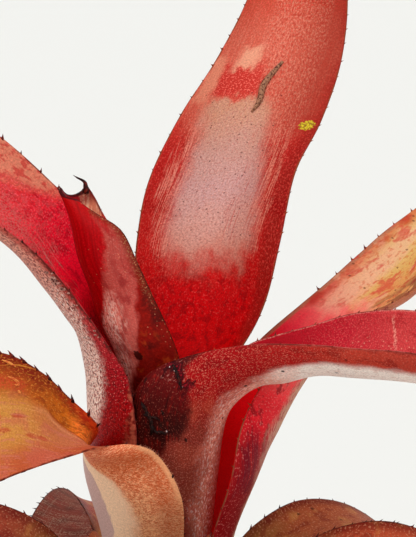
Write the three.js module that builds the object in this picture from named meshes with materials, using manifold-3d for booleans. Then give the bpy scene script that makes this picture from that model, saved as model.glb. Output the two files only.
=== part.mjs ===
// Neoregelia bromeliad in a plain clay pot.
// Millimetres, +Z up, origin at the centre of the pot's flat underside.
// The plant faces -Y: +X is its right, +Y is behind it.
import * as THREE from 'three';
import Module from 'manifold-3d';
import { mergeVertices } from 'three/addons/utils/BufferGeometryUtils.js';

const wasm = await Module();
wasm.setup();

// ---- driving sizes ----------------------------------------------------------------------

const POT = {
  height: 110, foot: 41, rim: 60, wall: 4.5, floor: 6,
  band: 20, lip: 3.5, sides: 40,
  holeRadius: 4.5, holeRing: 20, holes: 4,
};
const MIX = { top: 99.5, crown: 3, bottom: 6.4, gap: 0.4, sides: 40 };
const STEM = { bottom: 74, top: 131, radius: 8, topRadius: 4.6, tipDome: 3, sides: 16, holeGap: 0.4 };

const BLADE = {
  thickness: 1.2, // through the body of a leaf, which thins to a sharp edge past the last column
  columns: [-0.9, -0.6, -0.3, 0, 0.3, 0.6, 0.9], // across the leaf: -1 left edge, 0 midrib, 1 right edge
  rowStep: 13, // length of one row of facets
  tipRows: [0.3, 0.58, 0.8, 0.93, 0.985], // rows along the round tip, as shares of its length
  point: 5, // length of the hard point that ends the tip
  pointRoot: 0.09, // its widths at root and end, as shares of the leaf's
  pointEnd: 0.015,
};
const SPINE = { length: 1.1, foot: 0.8, lean: 0.5, pitch: 6.5, firstSection: 4 };
const CUT_END = { depth: 0.076, from: 0.8, roundness: 0.7 }; // the heart leaf's hollowed end, as shares of its length

// ---- the leaves -------------------------------------------------------------------------
// A leaf is lofted over three rails: its left edge, its midrib and its right edge, as seen from
// outside with the plant upright. Each cross-section is the circular arc through the three.
// clasp() is a section wrapped round the stem; a list of three points is an open section.

const clasp = (azimuth, leftSpan, rightSpan, radius, z, x = 0, y = 0) =>
  [azimuth - leftSpan, azimuth, azimuth + rightSpan].map((degrees) => {
    const a = THREE.MathUtils.degToRad(degrees);
    return [x + radius * Math.cos(a), y + radius * Math.sin(a), z];
  });

const LEAVES = {
  // tall upright leaf at the back, its inner face forward
  leaf_back_tall: {
    color: 0xc2382c,
    tip: 26,
    sections: [
      clasp(85, 100, 100, 6.7, 122),
      clasp(85, 92, 97, 8.7, 131),
      clasp(85, 85, 95, 10, 146, -1, 1),
      clasp(85, 75, 90, 12, 165, -2, 2),
      [[13, 10, 190], [0, 20, 190], [-14, 10, 190]],
      [[24, 12, 204], [8, 24, 205], [-13, 15, 206]],
      [[31, 14, 218], [11, 27, 222], [-12, 16, 221]],
      [[36, 18, 238], [14, 30, 240], [-11, 18, 238]],
      [[41, 26, 259], [22, 36, 258], [-7, 22, 257]],
      [[50, 38, 275], [29, 46, 277], [3, 34, 277]],
      [[57, 48, 294], [36, 56, 296], [15, 46, 295]],
      [[60, 62, 315], [43, 70, 318], [26, 60, 316]],
      [[59, 84, 334], [45, 90, 338], [30, 84, 335]],
      [[55, 110, 342], [44, 114, 346], [32, 110, 343]],
    ],
  },
  // short folded heart leaf, its midrib to the left, with a hooked point
  leaf_heart: {
    color: 0x9c1418,
    thickness: 1.0,
    cutEnd: true,
    horns: [
      {
        points: [
          [-26.6, 6.4, 250.5], [-27, 6.8, 253.5], [-27.3, 7, 256.3], [-28.6, 6.8, 258.2], [-31, 6.4, 259.6],
        ],
        radii: [1.5, 1.4, 0.9, 0.5],
      },
      { points: [[-34, 1.8, 253.6], [-34.6, 2, 255.6], [-35.6, 2, 257.8]], radii: [0.8, 0.7] },
    ],
    sections: [
      clasp(185, 110, 110, 6.1, 127.5),
      clasp(185, 110, 110, 7.2, 146, -1, 0),
      clasp(185, 108, 108, 8.2, 165, -2, 0),
      [[3.6, 9, 190], [-14, -1, 190], [5, -9, 190]],
      [[0.6, 10, 205], [-17, -3, 203], [3, -10, 203]],
      [[-4.6, 11, 217], [-22, -4, 213], [-1, -11, 214]],
      [[-10, 11, 229], [-25, -4, 224], [-6, -12, 225]],
      [[-15.6, 10, 238], [-29, -3, 235], [-10, -12, 234]],
      [[-21, 9, 246], [-31, -2, 245], [-15, -11, 244]],
      [[-24, 8, 252], [-33, 0, 251], [-23.4, -7.6, 249.2]],
      [[-27, 7, 257], [-35, 2, 256], [-29.4, -4, 253]],
    ],
  },
  // channelled leaf arching up to the left
  leaf_left: {
    color: 0xc02838,
    tip: 26,
    sections: [
      clasp(190, 78, 62, 7.5, 115),
      clasp(190, 78, 60, 13.6, 127),
      clasp(190, 78, 56, 18.5, 146, 0, -0.5),
      clasp(190, 76, 57, 23.8, 165, -0.5, -1),
      [[-12, 20, 186], [-26, -3, 184], [-10.3, -25.2, 184]],
      [[-13, 19, 202], [-26.6, -5, 198], [-12.8, -23.4, 199]],
      [[-15, 18, 220], [-29.4, -6, 211], [-17.6, -22, 207]],
      [[-19, 18, 233], [-34, -6, 218], [-24, -22, 217]],
      [[-27, 17, 244], [-40, -6, 226], [-33, -21, 229]],
      [[-36, 16, 254], [-51, -5, 239], [-46, -20, 242]],
      [[-57, 14, 273], [-71, -4, 253], [-66, -19, 254]],
      [[-80, 12, 285], [-94, -4, 264], [-90, -18, 263]],
      [[-108, 10, 287], [-120, -4, 268], [-118, -18, 266]],
      [[-140, 6, 277], [-144, -6, 262], [-142, -18, 258]],
      [[-164, 2, 258], [-164, -8, 246], [-160, -18, 240]],
    ],
  },
  // channelled leaf arching out level to the right, in front
  leaf_right_front: {
    color: 0xb82c30,
    tip: 26,
    sections: [
      clasp(-30, 100, 84, 7.2, 118.5),
      clasp(-30, 100, 70, 11, 127),
      clasp(-30, 100, 55, 14.4, 146, -1.5, -1.5),
      clasp(-30, 98, 50, 18, 165, -3, -3),
      [[-13, -20, 186], [14, -18, 182], [14, 3, 186]],
      [[-7, -23, 200], [16, -22, 190], [18, 3, 198]],
      [[7, -26, 207], [22, -24, 197], [25, 3, 205]],
      [[25, -30, 211], [31, -27, 202], [33, 3, 208]],
      [[43, -36, 212], [44, -30, 204], [46, 1, 212]],
      [[56, -42, 212], [57, -34, 203], [60, -5, 217]],
      [[75, -52, 212], [77, -42, 202], [78, -14, 219]],
      [[104, -64, 208], [106, -52, 198], [106, -28, 215]],
      [[132, -74, 198], [134, -62, 189], [134, -42, 202]],
      [[156, -80, 182], [158, -70, 176], [158, -54, 186]],
    ],
  },
  // leaf rising to the right behind the front one, its inner face forward
  leaf_right_back: {
    color: 0xc87848,
    tip: 26,
    sections: [
      clasp(25, 75, 75, 7.9, 111.5),
      clasp(25, 76, 75, 16, 127),
      clasp(25, 76, 75, 20.5, 146, 0.5, 0),
      clasp(25, 76, 75, 25.6, 165, 3, 0),
      [[22.5, -18, 182], [33.5, 6, 176], [10, 26, 184]],
      [[28.4, -5, 192], [41.6, 11, 189], [23, 29, 196]],
      [[37, 6, 200], [49.8, 18, 199], [33, 32, 205]],
      [[49, 8, 207], [58, 22, 207], [43, 35, 213]],
      [[61, 9, 213], [67, 25, 213], [53, 38, 221]],
      [[73, 12, 218], [78, 30, 219], [64, 43, 230]],
      [[88, 18, 227], [91, 35, 230], [77, 48, 240]],
      [[114, 28, 240], [116, 44, 245], [104, 57, 256]],
      [[142, 40, 244], [143, 54, 249], [134, 66, 258]],
      [[164, 52, 238], [165, 62, 242], [159, 72, 248]],
    ],
  },
  // older leaf bending out to the left in front
  leaf_left_front: {
    color: 0xd07838,
    tip: 24,
    sections: [
      clasp(222, 55, 62, 8.2, 108),
      clasp(222, 52, 60, 18.5, 127),
      clasp(222, 48, 58, 22.8, 146, 0.5, -1.5),
      clasp(222, 44, 52, 28.8, 163, 2, -3.2),
      [[-27, -10, 174], [-24, -23, 172], [-2.5, -33, 176]],
      [[-23.6, -25, 180], [-26, -32, 178], [-10, -37, 181]],
      [[-21.8, -35, 187], [-26, -40, 183], [-20, -44, 182]],
      [[-30, -42, 197], [-32, -46, 187], [-28, -55, 182]],
      [[-38, -48, 206], [-39, -53, 193], [-38, -66, 181]],
      [[-50, -54, 213], [-50, -61, 196], [-49, -78, 179]],
      [[-70, -62, 214], [-70, -72, 194], [-67, -90, 172]],
      [[-94, -72, 202], [-94, -84, 182], [-89, -100, 160]],
      [[-116, -82, 180], [-116, -92, 164], [-110, -104, 146]],
    ],
  },
};

// Older outer leaves, all alike: each leaves the base at its azimuth and arches out over the rim.
// ring 0 lies inside ring 1, so that neighbours pass each other.
const OUTER_LEAVES = {
  leaf_outer_back: { azimuth: 102, ring: 0, reach: 150, rise: -16, sway: 16, width: 44, color: 0xa8482c },
  leaf_outer_right: { azimuth: -22, ring: 0, reach: 152, rise: -8, sway: -14, width: 44, color: 0xb4502c },
  leaf_outer_front: { azimuth: 262, ring: 1, reach: 138, rise: 2, sway: 18, width: 42, color: 0xb86a34 },
  leaf_outer_left: { azimuth: 173, ring: 1, reach: 146, rise: -11, sway: -12, width: 43, color: 0xa04c30 },
  leaf_outer_side: { azimuth: 33, ring: 1, reach: 140, rise: -17, sway: 12, width: 42, color: 0xb05c30 },
};

function outerSections({ azimuth, ring, reach, rise, sway, width }) {
  const angle = THREE.MathUtils.degToRad(azimuth);
  const place = (distance, across, z) => [
    distance * Math.cos(angle) - across * Math.sin(angle),
    distance * Math.sin(angle) + across * Math.cos(angle),
    z,
  ];
  // midrib route: share of the reach, height, half chord as a share of the width, edge lift
  const route = [
    [0.235, 126 + rise * 0.6, 0.4, 9], [0.33, 141 + rise * 0.9, 0.4, 10], [0.47, 149 + rise, 0.43, 9],
    [0.63, 146 + rise, 0.45, 7], [0.79, 132 + rise, 0.46, 6], [0.92, 113 + rise, 0.46, 5],
    [1, 96 + rise, 0.45, 5],
  ];
  const open = route.map(([share, z, halfChord, lift]) => {
    const out = ring * 3 + share * reach;
    const edgeOut = out - lift * 0.4;
    const side = sway * share * share;
    return [
      place(edgeOut, side - halfChord * width, z + lift),
      place(out, side, z),
      place(edgeOut, side + halfChord * width, z + lift),
    ];
  });
  const low = 104.5 - 3 * ring;
  const span = 55 - 13 * ring;
  return [
    clasp(azimuth, span, span, 8.7, low),
    clasp(azimuth, span, span, 17 + 4 * ring, low + 8),
    ...open,
  ];
}

for (const [name, leaf] of Object.entries(OUTER_LEAVES)) {
  LEAVES[name] = { color: leaf.color, tip: 22, sections: outerSections(leaf) };
}

// ---- shared geometry --------------------------------------------------------------------

function sectionArc(left, middle, right, s) {
  // the point at s (-1 left edge, 0 midrib, 1 right edge) on the circle through three points
  const a = left.clone().sub(middle);
  const b = right.clone().sub(middle);
  const normal = a.clone().cross(b);
  const area = normal.lengthSq();
  if (area < 1e-6) {
    const end = s < 0 ? left : right;
    return middle.clone().lerp(end, Math.abs(s));
  }
  const toCentre = b.clone().multiplyScalar(a.lengthSq()).sub(a.clone().multiplyScalar(b.lengthSq()))
    .cross(normal).divideScalar(2 * area);
  const radius = toCentre.length();
  const centre = middle.clone().add(toCentre);
  const outward = toCentre.clone().divideScalar(-radius);
  const sideways = normal.clone().normalize().cross(outward);
  const end = (s < 0 ? left : right).clone().sub(centre);
  const angle = Math.atan2(end.dot(sideways), end.dot(outward)) * Math.abs(s);
  return centre.add(outward.multiplyScalar(radius * Math.cos(angle)))
    .add(sideways.multiplyScalar(radius * Math.sin(angle)));
}

function railsOf(sections) {
  return [0, 1, 2].map((k) => new THREE.CatmullRomCurve3(
    sections.map((section) => new THREE.Vector3(...section[k])), false, 'catmullrom', 0.5));
}

const surfacePoint = (rails, s, t) => {
  const [left, middle, right] = rails.map((rail) => rail.getPoint(THREE.MathUtils.clamp(t, 0, 1)));
  return sectionArc(left, middle, right, s);
};

function measureMidrib(rail, samples = 300) {
  // lengths along the midrib, to place rows and spines by distance
  const lengths = [0];
  let last = rail.getPoint(0);
  for (let i = 1; i <= samples; i += 1) {
    const point = rail.getPoint(i / samples);
    lengths.push(lengths[i - 1] + point.distanceTo(last));
    last = point;
  }
  const total = lengths[samples];
  const at = (distance) => {
    let i = 1;
    while (i < samples && lengths[i] < distance) i += 1;
    const part = (distance - lengths[i - 1]) / (lengths[i] - lengths[i - 1]);
    return (i - 1 + THREE.MathUtils.clamp(part, 0, 1)) / samples;
  };
  return { total, at };
}

function widthLeft(distance, bladeLength, tipLength) {
  // share of the full width left at this distance: a round tip that runs out in the hard point
  const toEnd = bladeLength - distance;
  if (toEnd >= tipLength) return 1;
  if (toEnd < 0) return BLADE.pointEnd;
  return Math.max(Math.sqrt(1 - (1 - toEnd / tipLength) ** 2), BLADE.pointRoot);
}

function rowDistances(bladeLength, tipLength, total) {
  const body = bladeLength - tipLength;
  const count = Math.ceil(body / BLADE.rowStep);
  const rows = Array.from({ length: count + 1 }, (_, i) => (body * i) / count);
  if (tipLength > 0) {
    BLADE.tipRows.forEach((share) => rows.push(body + share * tipLength));
    rows.push(total);
  }
  return rows;
}

function horn(points, radii, sides = 6) {
  // a closed pointed tube: one ring at each point but the last, which is the tip
  const curve = new THREE.CatmullRomCurve3(points.map((p) => new THREE.Vector3(...p)));
  const frames = curve.computeFrenetFrames(points.length - 1, false);
  const positions = [];
  const index = [];
  radii.forEach((radius, i) => {
    const centre = new THREE.Vector3(...points[i]);
    for (let k = 0; k < sides; k += 1) {
      const a = (2 * Math.PI * k) / sides;
      const p = centre.clone().addScaledVector(frames.normals[i], radius * Math.cos(a))
        .addScaledVector(frames.binormals[i], radius * Math.sin(a));
      positions.push(p.x, p.y, p.z);
    }
  });
  positions.push(...points[radii.length], ...points[0]);
  const tip = radii.length * sides;
  for (let k = 0; k < sides; k += 1) {
    const next = (k + 1) % sides;
    for (let i = 0; i < radii.length - 1; i += 1) {
      const a = i * sides;
      index.push(a + k, a + next, a + sides + next, a + k, a + sides + next, a + sides + k);
    }
    const last = (radii.length - 1) * sides;
    index.push(last + k, last + next, tip, next, k, tip + 1);
  }
  const geometry = new THREE.BufferGeometry();
  geometry.setAttribute('position', new THREE.Float32BufferAttribute(positions, 3));
  geometry.setIndex(index);
  return geometry;
}

function solid(geometry) {
  const bare = geometry.clone();
  bare.deleteAttribute('normal');
  bare.deleteAttribute('uv');
  const merged = mergeVertices(bare, 1e-3);
  return new wasm.Manifold(new wasm.Mesh({
    numProp: 3,
    vertProperties: new Float32Array(merged.getAttribute('position').array),
    triVerts: new Uint32Array(merged.index.array),
  }));
}

function geometryOf(manifold) {
  const { vertProperties, triVerts } = manifold.getMesh();
  const geometry = new THREE.BufferGeometry();
  geometry.setAttribute('position', new THREE.BufferAttribute(new Float32Array(vertProperties), 3));
  geometry.setIndex(new THREE.BufferAttribute(new Uint32Array(triVerts), 1));
  return geometry;
}

function leafGeometry(leaf) {
  const rails = railsOf(leaf.sections);
  const { total, at } = measureMidrib(rails[1]);
  const tipLength = leaf.cutEnd ? 0 : leaf.tip;
  const bladeLength = leaf.cutEnd ? total : total - BLADE.point;
  const thickness = leaf.thickness ?? BLADE.thickness;
  const firstSpine = leaf.cutEnd ? 1 : SPINE.firstSection / (leaf.sections.length - 1);
  const point = (s, distance) => {
    const bow = leaf.cutEnd ? Math.max(0, Math.sin(Math.PI * -s)) ** CUT_END.roundness : 0;
    const hollow = CUT_END.depth * bow;
    const t = at(distance);
    const held = t - hollow * Math.max(0, (t - CUT_END.from) / (1 - CUT_END.from));
    return surfacePoint(rails, s * widthLeft(distance, bladeLength, tipLength), held);
  };
  const positions = [];
  const index = [];
  const vertex = (p) => positions.push(p.x, p.y, p.z) / 3 - 1;
  const face = (a, b, c, flip) => (flip ? index.push(a, c, b) : index.push(a, b, c));

  const rows = rowDistances(bladeLength, tipLength, total);
  const normalAt = (s, distance) => {
    const along = point(s, Math.min(distance + 0.5, total)).sub(point(s, Math.max(distance - 0.5, 0)));
    const over = point(s + 0.02, distance).sub(point(s - 0.02, distance));
    return over.cross(along).normalize();
  };
  const outerGrid = [];
  const innerGrid = [];
  for (const distance of rows) {
    const thin = Math.min(1, 0.35 + widthLeft(distance, bladeLength, tipLength));
    const half = (thickness / 2) * thin;
    const outer = [];
    const inner = [];
    for (const s of BLADE.columns) {
      const p = point(s, distance);
      const shift = normalAt(s, Math.min(distance, bladeLength - 0.5)).multiplyScalar(half);
      outer.push(vertex(p.clone().add(shift)));
      inner.push(vertex(p.clone().sub(shift)));
    }
    outerGrid.push(outer);
    innerGrid.push(inner);
  }
  // edge lines, with their spines
  const edges = [-1, 1].map((side) => rows.map((distance, i) => {
    const chain = [vertex(point(side, distance))];
    if (i === rows.length - 1) return chain;
    const gap = rows[i + 1] - distance;
    const count = at(distance) < firstSpine ? 0 : Math.floor(gap / SPINE.pitch + 0.2);
    for (let k = 0; k < count; k += 1) {
      const centre = distance + (gap * (k + 0.5)) / count;
      const root = point(side, centre);
      const out = root.clone().sub(point(side * 0.95, centre)).normalize();
      const along = point(side, centre + 1).sub(point(side, centre - 1)).normalize();
      chain.push(vertex(point(side, centre - SPINE.foot)));
      chain.push(vertex(root.addScaledVector(out, SPINE.length).addScaledVector(along, SPINE.lean)));
      chain.push(vertex(point(side, centre + SPINE.foot)));
    }
    return chain;
  }));
  const strip = (grid, column, chain, i, flip) => {
    const a = grid[i][column];
    const b = grid[i + 1][column];
    const split = Math.floor((chain.length - 1) / 2);
    for (let k = 0; k < chain.length - 1; k += 1) {
      if (k === split) face(a, chain[k], b, flip);
      if (k < split) face(a, chain[k], chain[k + 1], flip);
      else face(b, chain[k], chain[k + 1], flip);
    }
  };
  const last = BLADE.columns.length - 1;
  for (let i = 0; i < rows.length - 1; i += 1) {
    for (let j = 0; j < last; j += 1) {
      for (const [grid, flip] of [[outerGrid, false], [innerGrid, true]]) {
        face(grid[i][j], grid[i][j + 1], grid[i + 1][j + 1], flip);
        face(grid[i][j], grid[i + 1][j + 1], grid[i + 1][j], flip);
      }
    }
    const [leftEdge, rightEdge] = edges.map((edge) => [...edge[i], edge[i + 1][0]]);
    strip(outerGrid, 0, leftEdge, i, true);
    strip(innerGrid, 0, leftEdge, i, false);
    strip(outerGrid, last, rightEdge, i, false);
    strip(innerGrid, last, rightEdge, i, true);
  }
  for (const [i, flip] of [[0, false], [rows.length - 1, true]]) {
    face(edges[0][i][0], innerGrid[i][0], outerGrid[i][0], flip);
    for (let j = 0; j < last; j += 1) {
      face(outerGrid[i][j], innerGrid[i][j], innerGrid[i][j + 1], flip);
      face(outerGrid[i][j], innerGrid[i][j + 1], outerGrid[i][j + 1], flip);
    }
    face(edges[1][i][0], outerGrid[i][last], innerGrid[i][last], flip);
  }
  const geometry = new THREE.BufferGeometry();
  geometry.setAttribute('position', new THREE.Float32BufferAttribute(positions, 3));
  geometry.setIndex(index);
  return geometry;
}

// ---- assembly ---------------------------------------------------------------------------

const plant = new THREE.Group();

function add(name, geometry, color, roughness) {
  const mesh = new THREE.Mesh(geometry, new THREE.MeshStandardMaterial({ color, roughness, metalness: 0 }));
  mesh.name = name;
  mesh.geometry.computeVertexNormals();
  plant.add(mesh);
  return mesh;
}

function leafBody(leaf) {
  // the blade, with any hard hooks at its tip joined to it
  if (!leaf.horns) return leafGeometry(leaf);
  return geometryOf(leaf.horns.reduce(
    (body, { points, radii }) => body.add(solid(horn(points, radii))), solid(leafGeometry(leaf))));
}

function lathe(profile, sides) {
  const geometry = new THREE.LatheGeometry(profile.map(([r, z]) => new THREE.Vector2(r, z)), sides);
  return geometry.rotateX(Math.PI / 2);
}

function pot() {
  const { height, foot, rim, wall, floor, band, lip, sides } = POT;
  const slope = (rim - lip - foot) / height;
  const radiusAt = (z) => foot + slope * z;
  let body = solid(lathe([
    [0, 0], [foot - 1.5, 0], [foot, 1.5],
    [radiusAt(height - band), height - band], [rim - 1, height - band], [rim, height - band + 1.5],
    [rim, height - 1.5], [rim - 1.5, height], [rim - lip - wall + 2, height],
    [radiusAt(height) - wall, height - 2], [radiusAt(floor) - wall, floor], [0, floor],
  ], sides));
  for (let k = 0; k < POT.holes; k += 1) {
    const angle = (2 * Math.PI * (k + 0.5)) / POT.holes;
    const hole = new THREE.CylinderGeometry(POT.holeRadius, POT.holeRadius, 3 * floor, 12)
      .rotateX(Math.PI / 2)
      .translate(POT.holeRing * Math.cos(angle), POT.holeRing * Math.sin(angle), floor / 2);
    body = body.subtract(solid(hole));
  }
  return geometryOf(body);
}

function pottingMix() {
  const { height, foot, rim, wall, lip, sides } = POT;
  const slope = (rim - lip - foot) / height;
  const radiusAt = (z) => foot + slope * z - wall - MIX.gap;
  const edge = MIX.top - MIX.crown;
  const holeRadius = STEM.radius + STEM.holeGap;
  return lathe([
    [0, MIX.bottom], [radiusAt(MIX.bottom), MIX.bottom], [radiusAt(edge), edge],
    [radiusAt(edge) * 0.6, MIX.top - 0.8], [holeRadius, MIX.top],
    [holeRadius, STEM.bottom - STEM.holeGap], [0, STEM.bottom - STEM.holeGap],
  ], MIX.sides);
}

function stem() {
  const { bottom, top, radius, topRadius, tipDome, sides } = STEM;
  return lathe([
    [0, bottom], [radius - 1, bottom], [radius, bottom + 1], [radius, MIX.top + 1],
    [topRadius, top - tipDome], [topRadius * 0.6, top - 0.7], [0, top],
  ], sides);
}

add('pot', pot(), 0xb5694a, 0.85);
add('potting_mix', pottingMix(), 0x4a3526, 0.95);
add('stem', stem(), 0x7a5a34, 0.8);
for (const [name, leaf] of Object.entries(LEAVES)) add(name, leafBody(leaf), leaf.color, 0.45);

export default plant;
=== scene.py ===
"""Potted neoregelia bromeliad: the dressed model. Metres, +Z up; sizes below are in millimetres.

Colours are display values from 0 to 255. Places on a leaf are given by side (-1 left margin, 0 midrib,
1 right margin, as seen from outside) and by the distance along it from its base.
"""
import math
import random

import bpy
import numpy as np
from mathutils import Matrix, Vector, noise


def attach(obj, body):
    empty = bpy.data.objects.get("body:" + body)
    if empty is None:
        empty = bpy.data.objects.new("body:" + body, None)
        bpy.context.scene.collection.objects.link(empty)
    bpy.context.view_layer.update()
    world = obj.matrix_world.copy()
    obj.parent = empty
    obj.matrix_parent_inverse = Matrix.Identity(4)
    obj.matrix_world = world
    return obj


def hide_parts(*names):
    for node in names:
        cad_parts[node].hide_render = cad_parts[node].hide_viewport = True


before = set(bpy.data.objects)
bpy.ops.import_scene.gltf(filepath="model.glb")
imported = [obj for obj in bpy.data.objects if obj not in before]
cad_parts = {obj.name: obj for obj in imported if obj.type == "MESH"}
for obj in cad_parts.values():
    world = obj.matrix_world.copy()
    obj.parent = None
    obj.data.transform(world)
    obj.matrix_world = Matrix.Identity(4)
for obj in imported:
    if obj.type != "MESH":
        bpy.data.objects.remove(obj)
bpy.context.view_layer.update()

MM = 0.001
scene = bpy.context.scene

# ---- leaf shapes ------------------------------------------------------------------------------
# A leaf is lofted over three rails: left edge, midrib and right edge, as seen from outside.
# Each cross-section is the circular arc through the three points.


def clasp(azimuth, left_span, right_span, radius, z, x=0.0, y=0.0):
    """A section wrapped round the stem."""
    turns = [math.radians(a) for a in (azimuth - left_span, azimuth, azimuth + right_span)]
    return [[x + radius * math.cos(a), y + radius * math.sin(a), z] for a in turns]


LEAVES = {
    "leaf_back_tall": {
        "tip": 26,
        "sections": [
            clasp(85, 100, 100, 6.7, 122), clasp(85, 92, 97, 8.7, 131),
            clasp(85, 85, 95, 10, 146, -1, 1), clasp(85, 75, 90, 12, 165, -2, 2),
            [[13, 10, 190], [0, 20, 190], [-14, 10, 190]],
            [[24, 12, 204], [8, 24, 205], [-13, 15, 206]],
            [[31, 14, 218], [11, 27, 222], [-12, 16, 221]],
            [[36, 18, 238], [14, 30, 240], [-11, 18, 238]],
            [[41, 26, 259], [22, 36, 258], [-7, 22, 257]],
            [[50, 38, 275], [29, 46, 277], [3, 34, 277]],
            [[57, 48, 294], [36, 56, 296], [15, 46, 295]],
            [[60, 62, 315], [43, 70, 318], [26, 60, 316]],
            [[59, 84, 334], [45, 90, 338], [30, 84, 335]],
            [[55, 110, 342], [44, 114, 346], [32, 110, 343]],
        ],
    },
    "leaf_heart": {
        "tip": 0,
        "thickness": 1.0,
        "sections": [
            clasp(185, 110, 110, 6.1, 127.5), clasp(185, 110, 110, 7.2, 146, -1, 0),
            clasp(185, 108, 108, 8.2, 165, -2, 0),
            [[3.6, 9, 190], [-14, -1, 190], [5, -9, 190]],
            [[0.6, 10, 205], [-17, -3, 203], [3, -10, 203]],
            [[-4.6, 11, 217], [-22, -4, 213], [-1, -11, 214]],
            [[-10, 11, 229], [-25, -4, 224], [-6, -12, 225]],
            [[-15.6, 10, 238], [-29, -3, 235], [-10, -12, 234]],
            [[-21, 9, 246], [-31, -2, 245], [-15, -11, 244]],
            [[-24, 8, 252], [-33, 0, 251], [-23.4, -7.6, 249.2]],
            [[-27, 7, 257], [-35, 2, 256], [-29.4, -4, 253]],
        ],
    },
    "leaf_left": {
        "tip": 26,
        "sections": [
            clasp(190, 78, 62, 7.5, 115), clasp(190, 78, 60, 13.6, 127),
            clasp(190, 78, 56, 18.5, 146, 0, -0.5), clasp(190, 76, 57, 23.8, 165, -0.5, -1),
            [[-12, 20, 186], [-26, -3, 184], [-10.3, -25.2, 184]],
            [[-13, 19, 202], [-26.6, -5, 198], [-12.8, -23.4, 199]],
            [[-15, 18, 220], [-29.4, -6, 211], [-17.6, -22, 207]],
            [[-19, 18, 233], [-34, -6, 218], [-24, -22, 217]],
            [[-27, 17, 244], [-40, -6, 226], [-33, -21, 229]],
            [[-36, 16, 254], [-51, -5, 239], [-46, -20, 242]],
            [[-57, 14, 273], [-71, -4, 253], [-66, -19, 254]],
            [[-80, 12, 285], [-94, -4, 264], [-90, -18, 263]],
            [[-108, 10, 287], [-120, -4, 268], [-118, -18, 266]],
            [[-140, 6, 277], [-144, -6, 262], [-142, -18, 258]],
            [[-164, 2, 258], [-164, -8, 246], [-160, -18, 240]],
        ],
    },
    "leaf_right_front": {
        "tip": 26,
        "sections": [
            clasp(-30, 100, 84, 7.2, 118.5), clasp(-30, 100, 70, 11, 127),
            clasp(-30, 100, 55, 14.4, 146, -1.5, -1.5), clasp(-30, 98, 50, 18, 165, -3, -3),
            [[-13, -20, 186], [14, -18, 182], [14, 3, 186]],
            [[-7, -23, 200], [16, -22, 190], [18, 3, 198]],
            [[7, -26, 207], [22, -24, 197], [25, 3, 205]],
            [[25, -30, 211], [31, -27, 202], [33, 3, 208]],
            [[43, -36, 212], [44, -30, 204], [46, 1, 212]],
            [[56, -42, 212], [57, -34, 203], [60, -5, 217]],
            [[75, -52, 212], [77, -42, 202], [78, -14, 219]],
            [[104, -64, 208], [106, -52, 198], [106, -28, 215]],
            [[132, -74, 198], [134, -62, 189], [134, -42, 202]],
            [[156, -80, 182], [158, -70, 176], [158, -54, 186]],
        ],
    },
    "leaf_right_back": {
        "tip": 26,
        "sections": [
            clasp(25, 75, 75, 7.9, 111.5), clasp(25, 76, 75, 16, 127),
            clasp(25, 76, 75, 20.5, 146, 0.5, 0), clasp(25, 76, 75, 25.6, 165, 3, 0),
            [[22.5, -18, 182], [33.5, 6, 176], [10, 26, 184]],
            [[28.4, -5, 192], [41.6, 11, 189], [23, 29, 196]],
            [[37, 6, 200], [49.8, 18, 199], [33, 32, 205]],
            [[49, 8, 207], [58, 22, 207], [43, 35, 213]],
            [[61, 9, 213], [67, 25, 213], [53, 38, 221]],
            [[73, 12, 218], [78, 30, 219], [64, 43, 230]],
            [[88, 18, 227], [91, 35, 230], [77, 48, 240]],
            [[114, 28, 240], [116, 44, 245], [104, 57, 256]],
            [[142, 40, 244], [143, 54, 249], [134, 66, 258]],
            [[164, 52, 238], [165, 62, 242], [159, 72, 248]],
        ],
    },
    "leaf_left_front": {
        "tip": 24,
        "sections": [
            clasp(222, 55, 62, 8.2, 108), clasp(222, 52, 60, 18.5, 127),
            clasp(222, 48, 58, 22.8, 146, 0.5, -1.5), clasp(222, 44, 52, 28.8, 163, 2, -3.2),
            [[-27, -10, 174], [-24, -23, 172], [-2.5, -33, 176]],
            [[-23.6, -25, 180], [-26, -32, 178], [-10, -37, 181]],
            [[-21.8, -35, 187], [-26, -40, 183], [-20, -44, 182]],
            [[-30, -42, 197], [-32, -46, 187], [-28, -55, 182]],
            [[-38, -48, 206], [-39, -53, 193], [-38, -66, 181]],
            [[-50, -54, 213], [-50, -61, 196], [-49, -78, 179]],
            [[-70, -62, 214], [-70, -72, 194], [-67, -90, 172]],
            [[-94, -72, 202], [-94, -84, 182], [-89, -100, 160]],
            [[-116, -82, 180], [-116, -92, 164], [-110, -104, 146]],
        ],
    },
}

# Older outer leaves, all alike: azimuth, ring (0 inside 1), reach, rise, sway, width
OUTER_LEAVES = {
    "leaf_outer_back": (102, 0, 150, -16, 16, 44),
    "leaf_outer_right": (-22, 0, 152, -8, -14, 44),
    "leaf_outer_front": (262, 1, 138, 2, 18, 42),
    "leaf_outer_left": (173, 1, 146, -11, -12, 43),
    "leaf_outer_side": (33, 1, 140, -17, 12, 42),
}


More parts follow.
